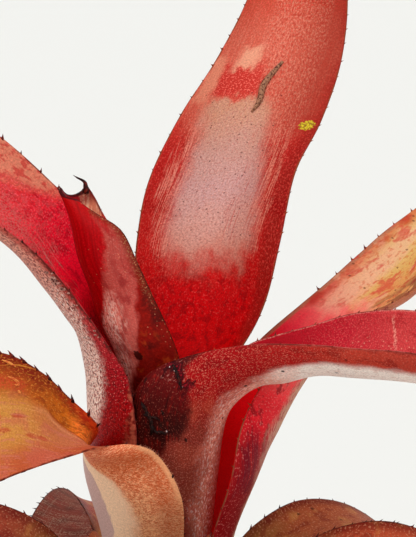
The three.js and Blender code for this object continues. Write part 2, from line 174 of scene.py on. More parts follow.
def outer_sections(azimuth, ring, reach, rise, sway, width):
    angle = math.radians(azimuth)
    cos, sin = math.cos(angle), math.sin(angle)

    def place(out, across, z):
        return [out * cos - across * sin, out * sin + across * cos, z]

    # midrib route: share of the reach, height, half chord as a share of the width, edge lift
    route = [
        (0.235, 126 + rise * 0.6, 0.4, 9), (0.33, 141 + rise * 0.9, 0.4, 10), (0.47, 149 + rise, 0.43, 9),
        (0.63, 146 + rise, 0.45, 7), (0.79, 132 + rise, 0.46, 6), (0.92, 113 + rise, 0.46, 5),
        (1, 96 + rise, 0.45, 5),
    ]
    low, span = 104.5 - 3 * ring, 55 - 13 * ring
    sections = [
        clasp(azimuth, span, span, 8.7, low),
        clasp(azimuth, span, span, 17 + 4 * ring, low + 8),
    ]
    for share, z, half_chord, lift in route:
        out = ring * 3 + share * reach
        side = sway * share * share
        sections.append([
            place(out - lift * 0.4, side - half_chord * width, z + lift),
            place(out, side, z),
            place(out - lift * 0.4, side + half_chord * width, z + lift),
        ])
    return sections


for leaf_name, numbers in OUTER_LEAVES.items():
    LEAVES[leaf_name] = {"tip": 22, "sections": outer_sections(*numbers)}

POINT = 5.0  # hard point that ends a tip
POINT_ROOT, POINT_END = 0.09, 0.015  # its widths, as shares of the leaf's
HOLLOW, HOLLOW_FROM = 0.076, 0.8  # the heart leaf's hollowed far end
SPINES_REACH_BACK = 30  # how far down the sheath the spines start
RAIL_SAMPLES = 301
CLASPING_SECTIONS = 4  # sections of the sheath, before the blade proper
NEARBY = 0.5  # how far along a neighbouring point is taken for a normal
TIP_ROWS = 15


def rail(points, t):
    """Points at t (0 to 1) on the uniform Catmull-Rom curve through the given points."""
    p = np.asarray(points, float)
    padded = np.vstack([2 * p[0] - p[1], p, 2 * p[-1] - p[-2]])
    x = np.clip(t, 0, 1) * (len(p) - 1)
    i = np.minimum(x.astype(int), len(p) - 2)
    w = (x - i)[..., None]
    p0, p1, p2, p3 = (padded[i + k] for k in range(4))
    m1, m2 = 0.5 * (p2 - p0), 0.5 * (p3 - p1)
    return (
        p1 * (2 * w**3 - 3 * w**2 + 1) + m1 * (w**3 - 2 * w**2 + w)
        + p2 * (3 * w**2 - 2 * w**3) + m2 * (w**3 - w**2)
    )


def dot(a, b):
    return np.sum(a * b, axis=-1, keepdims=True)


def unit(a):
    return a / np.maximum(np.sqrt(dot(a, a)), 1e-12)


def section_arc(left, middle, right, s):
    """The point at s (-1 left, 0 midrib, 1 right) on the circle through three points."""
    a, b = left - middle, right - middle
    normal = np.cross(a, b)
    area = np.maximum(dot(normal, normal), 1e-9)
    to_centre = np.cross(b * dot(a, a) - a * dot(b, b), normal) / (2 * area)
    centre = middle + to_centre
    outward = -unit(to_centre)
    sideways = np.cross(unit(normal), outward)
    s = s[..., None]
    end = np.where(s < 0, left, right) - centre
    angle = np.arctan2(dot(end, sideways), dot(end, outward)) * np.abs(s)
    radius = np.sqrt(dot(to_centre, to_centre))
    return centre + radius * (outward * np.cos(angle) + sideways * np.sin(angle))


class Blade:
    """The middle surface of a leaf: a point for each s across and each distance from the base."""

    def __init__(self, tip, sections, thickness=1.2):
        self.rails = [[section[k] for section in sections] for k in range(3)]
        self.share = np.linspace(0, 1, RAIL_SAMPLES)
        steps = np.linalg.norm(np.diff(rail(self.rails[1], self.share), axis=0), axis=1)
        self.lengths = np.concatenate([[0], np.cumsum(steps)])
        self.total = self.lengths[-1]
        self.tip = tip
        self.thickness = thickness
        self.body = self.total - POINT if tip else self.total
        blade_share = CLASPING_SECTIONS / (len(sections) - 1)
        self.spined_from = float(np.interp(blade_share, self.share, self.lengths)) - SPINES_REACH_BACK

    def width_left(self, distance):
        to_end = self.body - distance
        if not self.tip:
            return np.ones_like(distance)
        arc = np.sqrt(np.clip(1 - np.clip(1 - to_end / self.tip, 0, 1) ** 2, 0, 1))
        return np.where(to_end < 0, POINT_END, np.maximum(arc, POINT_ROOT))

    def point(self, s, distance):
        s, distance = np.broadcast_arrays(np.asarray(s, float), np.asarray(distance, float))
        t = np.interp(distance, self.lengths, self.share)
        if not self.tip:
            hollow = np.where(s < 0, HOLLOW * np.clip(np.sin(-math.pi * s), 0, 1) ** 0.7, 0)
            t = t - hollow * np.clip((t - HOLLOW_FROM) / (1 - HOLLOW_FROM), 0, 1)
        return section_arc(*(rail(points, t) for points in self.rails), s * self.width_left(distance))

    def normal(self, s, distance):
        """Out of the leaf's outer face."""
        ahead = self.point(s, np.minimum(distance + NEARBY, self.total))
        along = ahead - self.point(s, np.maximum(distance - NEARBY, 0))
        over = self.point(s + 0.02, distance) - self.point(s - 0.02, distance)
        return unit(np.cross(over, along))

    def rows(self, step):
        body = self.body - self.tip
        rows = list(np.linspace(0, body, int(math.ceil(body / step)) + 1))
        if self.tip:
            quarter = math.pi / 2 / (TIP_ROWS + 1)
            rows += [body + self.tip * math.sin(k * quarter) for k in range(1, TIP_ROWS + 1)]
            rows += [self.body + POINT * k for k in (-0.01, 0.3, 0.65, 1)]
        return np.array(rows)


BLADES = {name: Blade(**leaf) for name, leaf in LEAVES.items()}

# ---- modelling helpers ------------------------------------------------------------------------


def deselect():
    for thing in bpy.context.selected_objects:
        thing.select_set(False)


def take(thing):
    deselect()
    thing.select_set(True)
    bpy.context.view_layer.objects.active = thing
    return thing


def added(name):
    """Names what an operator has just added, and takes it up."""
    thing = bpy.context.object
    thing.name = thing.data.name = name
    return take(thing)


def apply_modifier(thing, kind, **settings):
    take(thing)
    modifier = thing.modifiers.new(kind.lower(), kind)
    for key, value in settings.items():
        setattr(modifier, key, value)
    bpy.ops.object.modifier_apply(modifier=modifier.name)


def join(pieces, name):
    deselect()
    for piece in pieces:
        piece.select_set(True)
    bpy.context.view_layer.objects.active = pieces[0]
    if len(pieces) > 1:
        bpy.ops.object.join()
    return added(name)


def positions(mesh):
    flat = np.empty(len(mesh.vertices) * 3)
    mesh.vertices.foreach_get("co", flat)
    return flat.reshape(-1, 3)


def set_positions(mesh, points):
    mesh.vertices.foreach_set("co", np.asarray(points, float).ravel())
    mesh.update()


def set_attribute(mesh, name, values):
    layer = mesh.attributes.get(name) or mesh.attributes.new(name, "FLOAT", "POINT")
    layer.data.foreach_set("value", np.asarray(values, float))


def begin_edit():
    bpy.ops.object.mode_set(mode="EDIT")
    bpy.ops.mesh.select_all(action="SELECT")


def end_edit(outward=False):
    """Back to object mode; with outward, every face is first turned to look out."""
    if outward:
        bpy.ops.mesh.select_all(action="SELECT")
        bpy.ops.mesh.normals_make_consistent(inside=False)
    bpy.ops.object.mode_set(mode="OBJECT")


def as_shape(thing):
    """The thing's vertex positions and faces, as a shape for many copies; the thing itself goes."""
    shape = positions(thing.data), [list(polygon.vertices) for polygon in thing.data.polygons]
    bpy.data.objects.remove(thing)
    return shape


def uneven(shape, spread, rng):
    """A shape's points, each moved along its axes by up to that share."""
    shares = [[rng.uniform(-spread, spread) for _ in range(3)] for _ in range(len(shape))]
    return shape * (1 + np.array(shares))


def add_copy(points, faces, placed, shape_faces):
    """Adds a copy of a shape, placed in millimetres, to a piece's points and faces."""
    start = len(points)
    points.extend(np.asarray(placed) * MM)
    faces.extend([[start + k for k in face] for face in shape_faces])


def mesh_piece(name, points, faces):
    mesh = bpy.data.meshes.new(name)
    mesh.from_pydata([tuple(p) for p in points], [], faces)
    mesh.update()
    thing = bpy.data.objects.new(name, mesh)
    scene.collection.objects.link(thing)
    take(thing)
    begin_edit()
    end_edit(outward=True)
    return thing


def smooth(thing):
    thing.data.polygons.foreach_set("use_smooth", [True] * len(thing.data.polygons))
    thing.data.update()


# ---- leaves -----------------------------------------------------------------------------------

ROW_STEP = 1.7
ACROSS = 26
CROWDING = 1.25  # above 1, columns lie closer at the margins
CHORD_TO_ARC = 1.06
LEAF_ATTRIBUTES = ("side", "across", "edge", "along", "inner")


def leaf_sheet(name, blade):
    """The blade, both faces: a grid laid over the rails and given its thickness."""
    rows = blade.rows(ROW_STEP)
    bpy.ops.mesh.primitive_grid_add(x_subdivisions=ACROSS, y_subdivisions=len(rows) - 1, size=2)
    sheet = added(name)
    mesh = sheet.data
    flat = positions(mesh)
    s = np.clip(flat[:, 0], -1, 1)
    s = np.sign(s) * (1 - (1 - np.abs(s)) ** CROWDING)
    row = (flat[:, 1] + 1) / 2 * (len(rows) - 1)
    distance = np.interp(row, np.arange(len(rows)), rows)
    points = blade.point(s, distance)
    set_positions(mesh, points * MM)
    margin = blade.point(np.where(s < 0, -1.0, 1.0), distance)
    half = np.linalg.norm(margin - blade.point(0.0, distance), axis=1) * CHORD_TO_ARC
    set_attribute(mesh, "side", s)
    set_attribute(mesh, "across", s * half)
    set_attribute(mesh, "edge", (1 - np.abs(s)) * half)
    set_attribute(mesh, "along", distance)
    # thinner towards the point, and at the margins
    thin = np.minimum(1, 0.35 + blade.width_left(distance)) * (1 - 0.72 * np.abs(s) ** 7)
    group = sheet.vertex_groups.new(name="thickness")
    for i, weight in enumerate(thin):
        group.add([i], float(weight), "REPLACE")
    before = len(mesh.vertices)
    apply_modifier(
        sheet, "SOLIDIFY", thickness=blade.thickness * MM, offset=0, vertex_group="thickness",
        thickness_vertex_group=0.1, use_even_offset=False, use_rim=True,
    )
    mesh = sheet.data
    # which shell lies on the inner side, by comparing with the surface's own outward normal
    now = positions(mesh) / MM
    first, second = now[:before], now[before:2 * before]
    out = blade.normal(s, np.clip(distance, 1, blade.body - 1))
    first_is_outer = np.median(np.sum((first - second) * out, axis=1)) > 0
    inner = np.zeros(len(mesh.vertices))
    inner[:before] = 0.0 if first_is_outer else 1.0
    inner[before:] = 1.0 if first_is_outer else 0.0
    set_attribute(mesh, "inner", inner)
    sheet.vertex_groups.clear()
    smooth(sheet)
    return sheet


def unplaced(thing):
    """Gives a leaf's horny parts the leaf attributes, all 0."""
    for attribute in LEAF_ATTRIBUTES:
        set_attribute(thing.data, attribute, np.zeros(len(thing.data.vertices)))
    return thing


def spine_shape():
    """One margin spine, root at the origin, pointing along +X and hooked towards +Y."""
    bpy.ops.mesh.primitive_cone_add(
        vertices=6, radius1=0.5, radius2=0.06, depth=1.0, end_fill_type="TRIFAN")
    spine = added("spine_shape")
    begin_edit()
    bpy.ops.transform.rotate(value=math.radians(-90), orient_axis="Y", center_override=(0, 0, 0))
    bpy.ops.mesh.bisect(plane_co=(-0.1, 0, 0), plane_no=(1, 0, 0))
    bpy.ops.mesh.select_all(action="SELECT")
    bpy.ops.mesh.bisect(plane_co=(0.2, 0, 0), plane_no=(1, 0, 0))
    end_edit()
    points, faces = as_shape(spine)
    girth = np.abs(points[:, 1:]).max(axis=1)
    if girth[points[:, 0] > 0.3].max() > girth[points[:, 0] < -0.3].max():  # the root lies ahead
        points[:, :2] *= -1
    out = points[:, 0] + 0.5  # 0 root, 1 tip
    shaped = np.empty_like(points)
    shaped[:, 0] = out - 0.25
    shaped[:, 1] = points[:, 1] * (1.0 - 0.35 * out) + 0.7 * out**1.5
    shaped[:, 2] = points[:, 2] * 0.42
    return shaped, faces


SPINE = spine_shape()
SPINE_PITCH = 6.5


def margin_spines(name, blade, sizes, rng):
    """Spines along both margins; sizes are the left and right lengths in millimetres."""
    shape, shape_faces = SPINE
    points, faces = [], []
    for side, size in ((-1.0, sizes[0]), (1.0, sizes[1])):
        if not size:
            continue
        distance = SPINE_STARTS.get((name, side), blade.spined_from)
        stop = blade.body - 5
        while distance < stop:
            distance += SPINE_PITCHES.get((name, side), SPINE_PITCH) * rng.uniform(0.85, 1.15)
            here = size * rng.uniform(0.7, 1.25)
            root = blade.point(side, distance)
            out = unit(root - blade.point(side * 0.94, distance))
            along = unit(blade.point(side, distance + 1) - blade.point(side, distance - 1))
            up = unit(np.cross(out, along))
            along = np.cross(up, out)
            local = shape * here * np.array([1, rng.uniform(0.9, 1.25), 1])
            placed = root + local[:, :1] * out + local[:, 1:2] * along + local[:, 2:] * up
            add_copy(points, faces, placed, shape_faces)
    spines = mesh_piece(name + "_spines", points, faces)
    smooth(spines)
    return unplaced(spines)


# where the spines of a smoother margin start, and the lengths on the left and right margins
SPINE_STARTS = {("leaf_right_back", 1.0): 116, ("leaf_left_front", -1.0): 86}
SPINE_PITCHES = {("leaf_left_front", -1.0): 4.3}
SPINE_SIZES = {
    "leaf_back_tall": (1.0, 1.0), "leaf_heart": (0.5, 0), "leaf_left": (1.4, 1.2),
    "leaf_right_front": (0.6, 1.1), "leaf_right_back": (1.1, 1.2), "leaf_left_front": (1.9, 1.2),
}

leaves = {}
for leaf_name, blade in BLADES.items():
    rng = random.Random(leaf_name)
    sheet = leaf_sheet(leaf_name + "_blade", blade)
    spines = margin_spines(leaf_name, blade, SPINE_SIZES.get(leaf_name, (1.2, 1.2)), rng)
    leaves[leaf_name] = (sheet, spines)


def limb(name, path, radii):
    """A tapered, rounded limb along a path in millimetres, from a bevelled curve made a mesh."""
    data = bpy.data.curves.new(name, "CURVE")
    data.dimensions = "3D"
    data.bevel_depth = MM
    data.bevel_resolution = 2
    data.resolution_u = 5
    data.use_fill_caps = True
    spline = data.splines.new("NURBS")
    spline.points.add(len(path) - 1)
    spline.order_u = 3
    spline.use_endpoint_u = True
    for point, place, radius in zip(spline.points, path, radii):
        point.co = (*(np.asarray(place, float) * MM), 1)
        point.radius = radius
    thing = bpy.data.objects.new(name, data)
    scene.collection.objects.link(thing)
    take(thing)
    bpy.ops.object.convert(target="MESH")
    thing = added(name)
    begin_edit()
    bpy.ops.mesh.remove_doubles(threshold=1e-6)
    end_edit(outward=True)
    smooth(thing)
    return thing


# the heart leaf's hooked point, and the spine at its other corner
HOOK = [
    (-27, 7.2, 253.9), (-27, 7.1, 255), (-27.2, 7, 256.2), (-27.3, 6.9, 257.4), (-28.2, 6.8, 258.2),
    (-29.3, 6.7, 258.7), (-30.2, 6.6, 259.2), (-31.2, 6.4, 259.9),
]
CORNER_SPINE = [(-34.4, 2, 254.9), (-34.9, 2, 255.9), (-35.3, 2, 256.8)]
heart = BLADES["leaf_heart"]
horn_rim = [heart.point(s, heart.total) for s in (-0.96, -0.86, -0.72, -0.5, -0.3, -0.12, 0)]
HOOKS = (
    (HOOK, (0.8, 1.0, 0.8, 0.6, 0.42, 0.34, 0.24, 0.04)),
    (CORNER_SPINE, (0.5, 0.35, 0.05)),
    (horn_rim, (0.7, 0.75, 0.5, 0.3, 0.22, 0.2, 0.28)),
)
extras = {"leaf_heart": [unplaced(limb("hook", path, radii)) for path, radii in HOOKS]}

# ---- finishes ---------------------------------------------------------------------------------


def rgb(red, green, blue):
    """Display colour, 0 to 255, as the linear colour that a shader takes."""
    linear = []
    for value in (red, green, blue):
        value /= 255
        linear.append(value / 12.92 if value <= 0.04045 else ((value + 0.055) / 1.055) ** 2.4)
    return (*linear, 1.0)


class Finish:
    """A procedural material, built by adding nodes."""

    def __init__(self, name):
        self.material = bpy.data.materials.new(name)
        self.material.use_nodes = True
        self.nodes = self.material.node_tree.nodes
        self.links = self.material.node_tree.links
        self.shader = self.nodes["Principled BSDF"]

    def put(self, socket, value):
        if isinstance(value, bpy.types.NodeSocket):
            self.links.new(value, socket)
        else:
            socket.default_value = value

    def node(self, kind, inputs=(), **settings):
        node = self.nodes.new(kind)
        for key, value in settings.items():
            setattr(node, key, value)
        for key, value in dict(inputs).items():
            self.put(node.inputs[key], value)
        return node

    def attribute(self, name):
        return self.node("ShaderNodeAttribute", attribute_name=name).outputs["Fac"]

    def math(self, operation, a, b=0.0, third=0.0):
        return self.node("ShaderNodeMath", {0: a, 1: b, 2: third}, operation=operation).outputs[0]

    def times(self, *masks):
        product = masks[0]
        for mask in masks[1:]:
            product = self.math("MULTIPLY", product, mask)
        return product

    def channel(self, colour):
        return self.node("ShaderNodeSeparateXYZ", {0: colour}).outputs[0]

    def step(self, value, low, high):
        """0 below low, 1 above high, smooth between; low may be above high."""
        inputs = {"Value": value, "From Min": low, "From Max": high, "To Min": 0.0, "To Max": 1.0}
        if low > high:
            inputs.update({"From Min": high, "From Max": low, "To Min": 1.0, "To Max": 0.0})
        return self.node("ShaderNodeMapRange", inputs, interpolation_type="SMOOTHSTEP").outputs[0]

    def vector(self, x, y, z=0.0):
        return self.node("ShaderNodeCombineXYZ", {0: x, 1: y, 2: z}).outputs[0]

    def scaled(self, vector, factors):
        inputs = {0: vector, 1: factors}
        return self.node("ShaderNodeVectorMath", inputs, operation="MULTIPLY").outputs[0]

    def noise(self, vector, scale, detail=2.0, roughness=0.5, distortion=0.0):
        inputs = {"Vector": vector, "Scale": scale, "Detail": detail, "Roughness": roughness,
                  "Distortion": distortion}
        return self.node("ShaderNodeTexNoise", inputs).outputs[0]

    def cells(self, vector, scale):
        inputs = {"Vector": vector, "Scale": scale}
        node = self.node("ShaderNodeTexVoronoi", inputs, voronoi_dimensions="2D")
        return node.outputs["Distance"], node.outputs["Color"]

    def mix(self, a, b, factor, blend="MIX"):
        node = self.node("ShaderNodeMix", data_type="RGBA", blend_type=blend)
        self.put(node.inputs[0], factor)
        self.put(node.inputs[6], a)
        self.put(node.inputs[7], b)
        return node.outputs[2]

    def ramp(self, value, stops):
        node = self.node("ShaderNodeValToRGB", {0: value})
        elements = node.color_ramp.elements
        while len(elements) < len(stops):
            elements.new(0.5)
        for element, (place, colour) in zip(elements, stops):
            element.position = place
            element.color = colour
        return node.outputs[0]

    def share(self, value, low, high):
        inputs = {"Value": value, "From Min": low, "From Max": high}
        return self.node("ShaderNodeMapRange", inputs).outputs[0]

    def profile(self, value, points):
        """A number for each value, from (value, result) pairs."""
        low, high = points[0][0], points[-1][0]
        results = [result for _, result in points]
        least, spread = min(results), (max(results) - min(results)) or 1.0
        stops = [((v - low) / (high - low), (*[(r - least) / spread] * 3, 1.0)) for v, r in points]
        grey = self.channel(self.ramp(self.share(value, low, high), stops))
        return self.math("MULTIPLY_ADD", grey, spread, third=least)

    def bump(self, height, distance, strength):
        inputs = {"Height": height, "Distance": distance, "Strength": strength}
        return self.node("ShaderNodeBump", inputs).outputs[0]

    def shade(self, **inputs):
        for key, value in inputs.items():
            self.put(self.shader.inputs[key.replace("_", " ")], value)
        return self.material


class LeafFinish(Finish):
    """Leaf skin, painted by side, and by the distance across, along and from the edge."""

    def __init__(self, name, seed):
        super().__init__(name)
        self.side, self.across, self.along, self.edge, self.inner = (
            self.attribute(key) for key in ("side", "across", "along", "edge", "inner")
        )
        shift = self.math("MULTIPLY_ADD", self.inner, 300.0, third=37.0 * seed)
        self.place = self.vector(self.across, self.math("ADD", self.along, shift))
        self.mottle = self.noise(self.place, 0.11, 3)
        self.blotch = self.noise(self.stretched(1.0, 0.55), 0.3, 3, 0.6)
        self.grain = self.noise(self.place, 1.5, 3, 0.7)
        self.streak = self.noise(self.stretched(1.0, 0.04), 1.1, 3, 0.65)
        drift = self.math("SUBTRACT", self.mottle, 0.5)
        ragged = self.math("SUBTRACT", self.blotch, 0.5)
        self.soft_side = self.math("ADD", self.side, self.math("MULTIPLY", drift, 0.22))
        self.soft_side = self.math("MULTIPLY_ADD", ragged, 0.2, third=self.soft_side)
        self.soft_along = self.math("ADD", self.along, self.math("MULTIPLY", drift, 12.0))
        self.soft_along = self.math("MULTIPLY_ADD", ragged, 12.0, third=self.soft_along)

    def stretched(self, x, y):
        return self.scaled(self.place, (x, y, 1))

    def dots(self, pitch, radius, keep=1.0, stretch=(1.0, 1.0)):
        """Dots of that radius in millimetres, about one for each pitch, of which a share is kept."""
        distance, chance = self.cells(self.stretched(*stretch), 1 / pitch)
        size = radius / pitch
        grain = self.math("SUBTRACT", self.grain, 0.5)
        ragged = self.math("MULTIPLY_ADD", grain, 1.4 * size, third=distance)
        mask = self.step(ragged, size * 1.4, size * 0.6)
        if keep < 1:
            mask = self.times(mask, self.math("LESS_THAN", self.channel(chance), keep))
        return mask

    def flecks(self, scale, low, soft=0.06, stretch=(1.0, 1.0)):
        """Irregular flecks, where a fine noise runs high."""
        return self.step(self.noise(self.stretched(*stretch), scale, 1.0, 0.6), low, low + soft)

    def zone(self, soft, *rows):
        """Between two sides that move along the leaf; rows are (along, low side, high side)."""
        low = self.profile(self.along, [(a, b) for a, b, _ in rows])
        high = self.profile(self.along, [(a, c) for a, _, c in rows])
        over = self.step(self.math("SUBTRACT", self.soft_side, low), -soft, soft)
        under = self.step(self.math("SUBTRACT", high, self.soft_side), -soft, soft)
        return self.times(over, under)

    def lengthwise(self, *stops):
        """A colour for each distance from the base, from (distance, display colour) pairs."""
        low, high = stops[0][0], stops[-1][0]
        shares = [((distance - low) / (high - low), rgb(*colour)) for distance, colour in stops]
        return self.ramp(self.share(self.soft_along, low, high), shares)

    def span(self, rise, top, fall=None, end=None):
        """A stretch along the leaf: from 0 at rise to 1 at top, then back from fall to end."""
        mask = self.step(self.soft_along, rise, top)
        return mask if fall is None else self.times(mask, self.step(self.soft_along, end, fall))

    def line(self, value, centre, out, full):
        """1 where the value lies within full of the centre, 0 beyond out."""
        return self.step(self.math("ABSOLUTE", self.math("SUBTRACT", value, centre)), out, full)

    def oval(self, across, along, half_width, half_length, tilt=0.0):
        """Squared distance from the middle of an oval spot: 1 on its outline."""
        x = self.math("SUBTRACT", self.across, across)
        y = self.math("MULTIPLY_ADD", x, tilt, third=self.math("SUBTRACT", self.along, along))
        x, y = self.math("MULTIPLY", x, 1 / half_width), self.math("MULTIPLY", y, 1 / half_length)
        return self.math("ADD", self.math("MULTIPLY", x, x), self.math("MULTIPLY", y, y))

    def over(self, base, colour, mask, amount=1.0):
        if amount < 1:
            mask = self.math("MULTIPLY", mask, amount)
        return self.mix(base, rgb(*colour) if isinstance(colour, tuple) else colour, mask)

    def lay(self, base, *layers):
        """Lays colours over the base in turn; a layer is (colour, amount, mask, more masks)."""
        for colour, amount, *masks in layers:
            base = self.over(base, colour, self.times(*masks), amount)
        return base

    def done(self, inner, outer, margin, margin_width=0.3, gloss=0.42, contrast=0.22, margin_from=0):
        """The material: both faces, fine light and dark grain, a worn margin line and long ribs."""
        colour = self.mix(outer, inner, self.step(self.inner, 0.45, 0.55))
        shade = self.profile(self.grain, [(0.3, 1 - contrast), (0.7, 1 + contrast * 0.7)])
        colour = self.mix(colour, self.vector(shade, shade, shade), 1.0, "MULTIPLY")
        worn = self.step(self.noise(self.vector(self.along, self.side), 0.3, 2.0), 0.36, 0.6)
        line = self.times(self.step(self.edge, margin_width * 1.6, margin_width * 0.5), worn)
        if margin_from:
            line = self.times(line, self.step(self.along, margin_from - 4, margin_from + 4))
        colour = self.over(colour, margin, line, 0.85)
        ribs = self.math("MULTIPLY_ADD", self.streak, 0.7, third=self.math("MULTIPLY", self.grain, 0.5))
        roughness = self.profile(self.grain, [(0.3, gloss + 0.1), (0.7, gloss)])
        return self.shade(
            Base_Color=colour, Roughness=roughness, Normal=self.bump(ribs, 0.0004, 0.6),
            Specular_IOR_Level=0.06,
        )

    def back(self, main, scurf, amount=0.55):
        """An outer face: the main colour under pale scurf, in faint cross bands and long streaks."""
        bands = self.noise(self.stretched(0.05, 0.5), 1.0, 3, 0.6)
        scaly = self.times(self.step(bands, 0.42, 0.62), self.flecks(1.3, 0.46, 0.12))
        darker = tuple(int(c * 0.6) for c in main)
        colour = self.over(rgb(*main), darker, self.step(self.mottle, 0.4, 0.65), 0.6)
        colour = self.over(colour, scurf, scaly, amount)
        return self.over(colour, scurf, self.step(self.streak, 0.56, 0.68), amount * 0.5)


def back_tall_finish(f):
    """Bright red base, a pale mauve panel of scurf under painted sheen, with dark specks up the middle,
    salmon above.
    """
    red = f.lengthwise(
        (60, (190, 0, 3)), (84, (218, 0, 5)), (99, (212, 2, 10)), (112, (198, 14, 14)),
        (134, (188, 30, 26)), (153, (186, 30, 26)), (168, (198, 58, 44)), (188, (206, 72, 56)),
        (214, (190, 72, 50)), (246, (156, 66, 38)),
    )
    right = f.zone(0.12, (100, -1.2, -0.78), (134, -1.2, -0.68), (153, -1.2, -0.8), (172, -1.3, -0.92))
    # pink scales: a few at the base, thick under the panel, fewer again above it
    scales = f.flecks(1.5, 0.55, 0.05, (1.0, 0.7))
    # half-tone fringe round the panel: scales and broken long streaks
    fringe_rows = [
        (104, -0.44, 0.56), (116, -0.6, 0.66), (134, -0.68, 0.74), (153, -0.66, 0.68),
        (168, -0.8, 0.98), (190, -0.95, 1.02),
    ]
    fringe = f.times(f.zone(0.14, *fringe_rows), f.span(104, 120, 196, 214))
    sparkle = f.step(f.grain, 0.34, 0.62)
    lines = f.times(f.step(f.streak, 0.47, 0.6), sparkle)
    half = f.math(
        "MINIMUM", f.math("MULTIPLY_ADD", lines, 0.75, third=f.math("MULTIPLY", scales, 0.5)), 1.0,
    )
    shaded = f.times(f.step(f.side, -0.3, -0.75), f.span(150, 166))
    beside = f.math(
        "MAXIMUM", f.zone(0.05, (112, 0.5, 0.74), (134, 0.5, 0.84), (160, 0.5, 0.8)),
        f.zone(0.05, (112, -0.62, -0.44), (134, -0.7, -0.3), (160, -0.66, -0.1)),
    )
    thread = f.noise(f.stretched(1.0, 0.035), 2.1, 2, 0.6)
    scratches = f.times(
        f.step(thread, 0.51, 0.58), beside, f.span(112, 120, 154, 168), f.step(f.grain, 0.28, 0.5),
    )
    cloud = f.noise(f.stretched(1.0, 0.7), 0.42, 3, 0.6)
    beyond = f.times(
        f.zone(0.1, (150, -0.7, 0.2), (168, -0.66, 0.2), (196, -0.7, 0.3)), f.span(150, 162),
    )
    red = f.lay(
        red,
        ((150, 30, 22), 0.75, right),
        ((158, 0, 4), 0.6, f.step(f.mottle, 0.5, 0.62), f.span(92, 112, 160, 174)),
        ((224, 84, 72), 0.5, scales, f.span(98, 116)),
        ((236, 70, 66), 0.6, f.flecks(1.3, 0.6, 0.06), f.span(84, 96)),
        ((222, 134, 112), 0.85, fringe, half),
        ((206, 104, 82), 0.5, fringe, f.span(150, 168)),
        ((164, 40, 28), 0.5, shaded),
        ((232, 146, 126), 0.75, scratches),
        ((150, 0, 6), 0.6, f.step(cloud, 0.5, 0.62), f.span(116, 104)),
        ((244, 60, 60), 0.5, f.step(cloud, 0.46, 0.36), f.flecks(1.3, 0.52, 0.1), f.span(112, 98)),
        ((226, 150, 126), 0.42, beyond, f.flecks(1.7, 0.5, 0.1, (1.0, 0.5))),
        ((182, 52, 38), 0.6, beyond, f.flecks(1.2, 0.56, 0.08, (1.0, 0.4))),
    )
    # the pale panel: mauve scurf with painted sheen over it, the light's reflection on the glossy face
    panel_rows = [
        (106, -0.4, 0.46), (116, -0.5, 0.5), (128, -0.52, 0.56), (140, -0.44, 0.54), (153, -0.26, 0.54),
        (167, -0.2, 0.66), (176, 0.0, 0.76),
    ]
    panel = f.times(f.zone(0.16, *panel_rows), f.span(104, 120, 169, 174))
    pale = f.lengthwise(
        (106, (206, 100, 84)), (116, (218, 150, 132)), (126, (214, 158, 146)), (138, (202, 153, 148)),
        (153, (195, 144, 130)), (168, (202, 142, 114)), (178, (206, 134, 106)),
    )
    pale = f.lay(
        pale,
        ((180, 104, 92), 0.5, f.flecks(1.3, 0.52, 0.1)),
        ((226, 172, 156), 0.45, f.flecks(1.6, 0.58, 0.08, (0.8, 1.2))),
    )
    colour = f.mix(red, pale, panel)
    threads = f.times(
        f.step(thread, 0.46, 0.38),
        f.zone(0.06, (112, -0.52, -0.06), (134, -0.64, -0.1), (160, -0.66, 0.0)),
        f.span(114, 124, 152, 166),
    )
    # red patch and peach patch past the panel's far end
    top = f.times(
        f.zone(0.1, (168, 0.1, 0.66), (174, 0.08, 0.74), (186, 0.16, 0.76)), f.span(170, 175, 184, 189),
    )
    peach = f.times(f.zone(0.1, (180, 0.3, 0.62), (190, 0.24, 0.58)), f.span(180.5, 184.5, 190, 194))
    strip = f.times(
        f.zone(0.08, (166, 0.72, 0.98), (176, 0.72, 0.98), (186, 0.78, 1.0)),
        f.span(168, 174, 186, 192),
    )
    colour = f.lay(
        colour,
        ((188, 66, 56), 0.5, threads),
        (f.over(rgb(196, 38, 32), (224, 96, 84), f.flecks(1.5, 0.54, 0.08)), 0.85, top),
        ((230, 158, 128), 0.9, peach),
        ((228, 146, 116), 0.7, strip),
    )
    dimmer = f.mix(colour, (0.8, 0.68, 0.64, 1), 1.0, "MULTIPLY")
    colour = f.mix(colour, dimmer, f.step(f.side, 0.1, -0.5))
    # fine dark specks, a few of them larger
    speckled = f.times(
        f.zone(0.12, (112, -0.62, 0.66), (153, -0.5, 0.6), (174, -0.4, 0.8)),
        f.span(112, 124, 172, 180),
    )
    colour = f.lay(
        colour,
        ((118, 62, 54), 0.7, f.flecks(2.0, 0.64, 0.05), speckled),
        ((88, 44, 40), 0.8, f.dots(3.6, 0.26, 0.35), speckled),
    )
    # a lichen-yellow spot near the right margin
    ragged = f.noise(f.place, 0.8, 2.0, 0.6)
    reach = f.math("MULTIPLY_ADD", ragged, 2.6, third=f.oval(-19.3, 163.2, 3.2, 2.1, 0.2))
    spot = f.times(f.step(reach, 2.35, 1.95), f.inner)
    yellow = f.over(rgb(202, 178, 42), (146, 104, 30), f.flecks(1.1, 0.48, 0.08), 0.9)
    colour = f.mix(colour, yellow, spot)
    outer = f.back((160, 36, 30), (196, 130, 118), 0.4)
    return f.done(colour, outer, margin=(142, 66, 36), contrast=0.28, gloss=0.42)


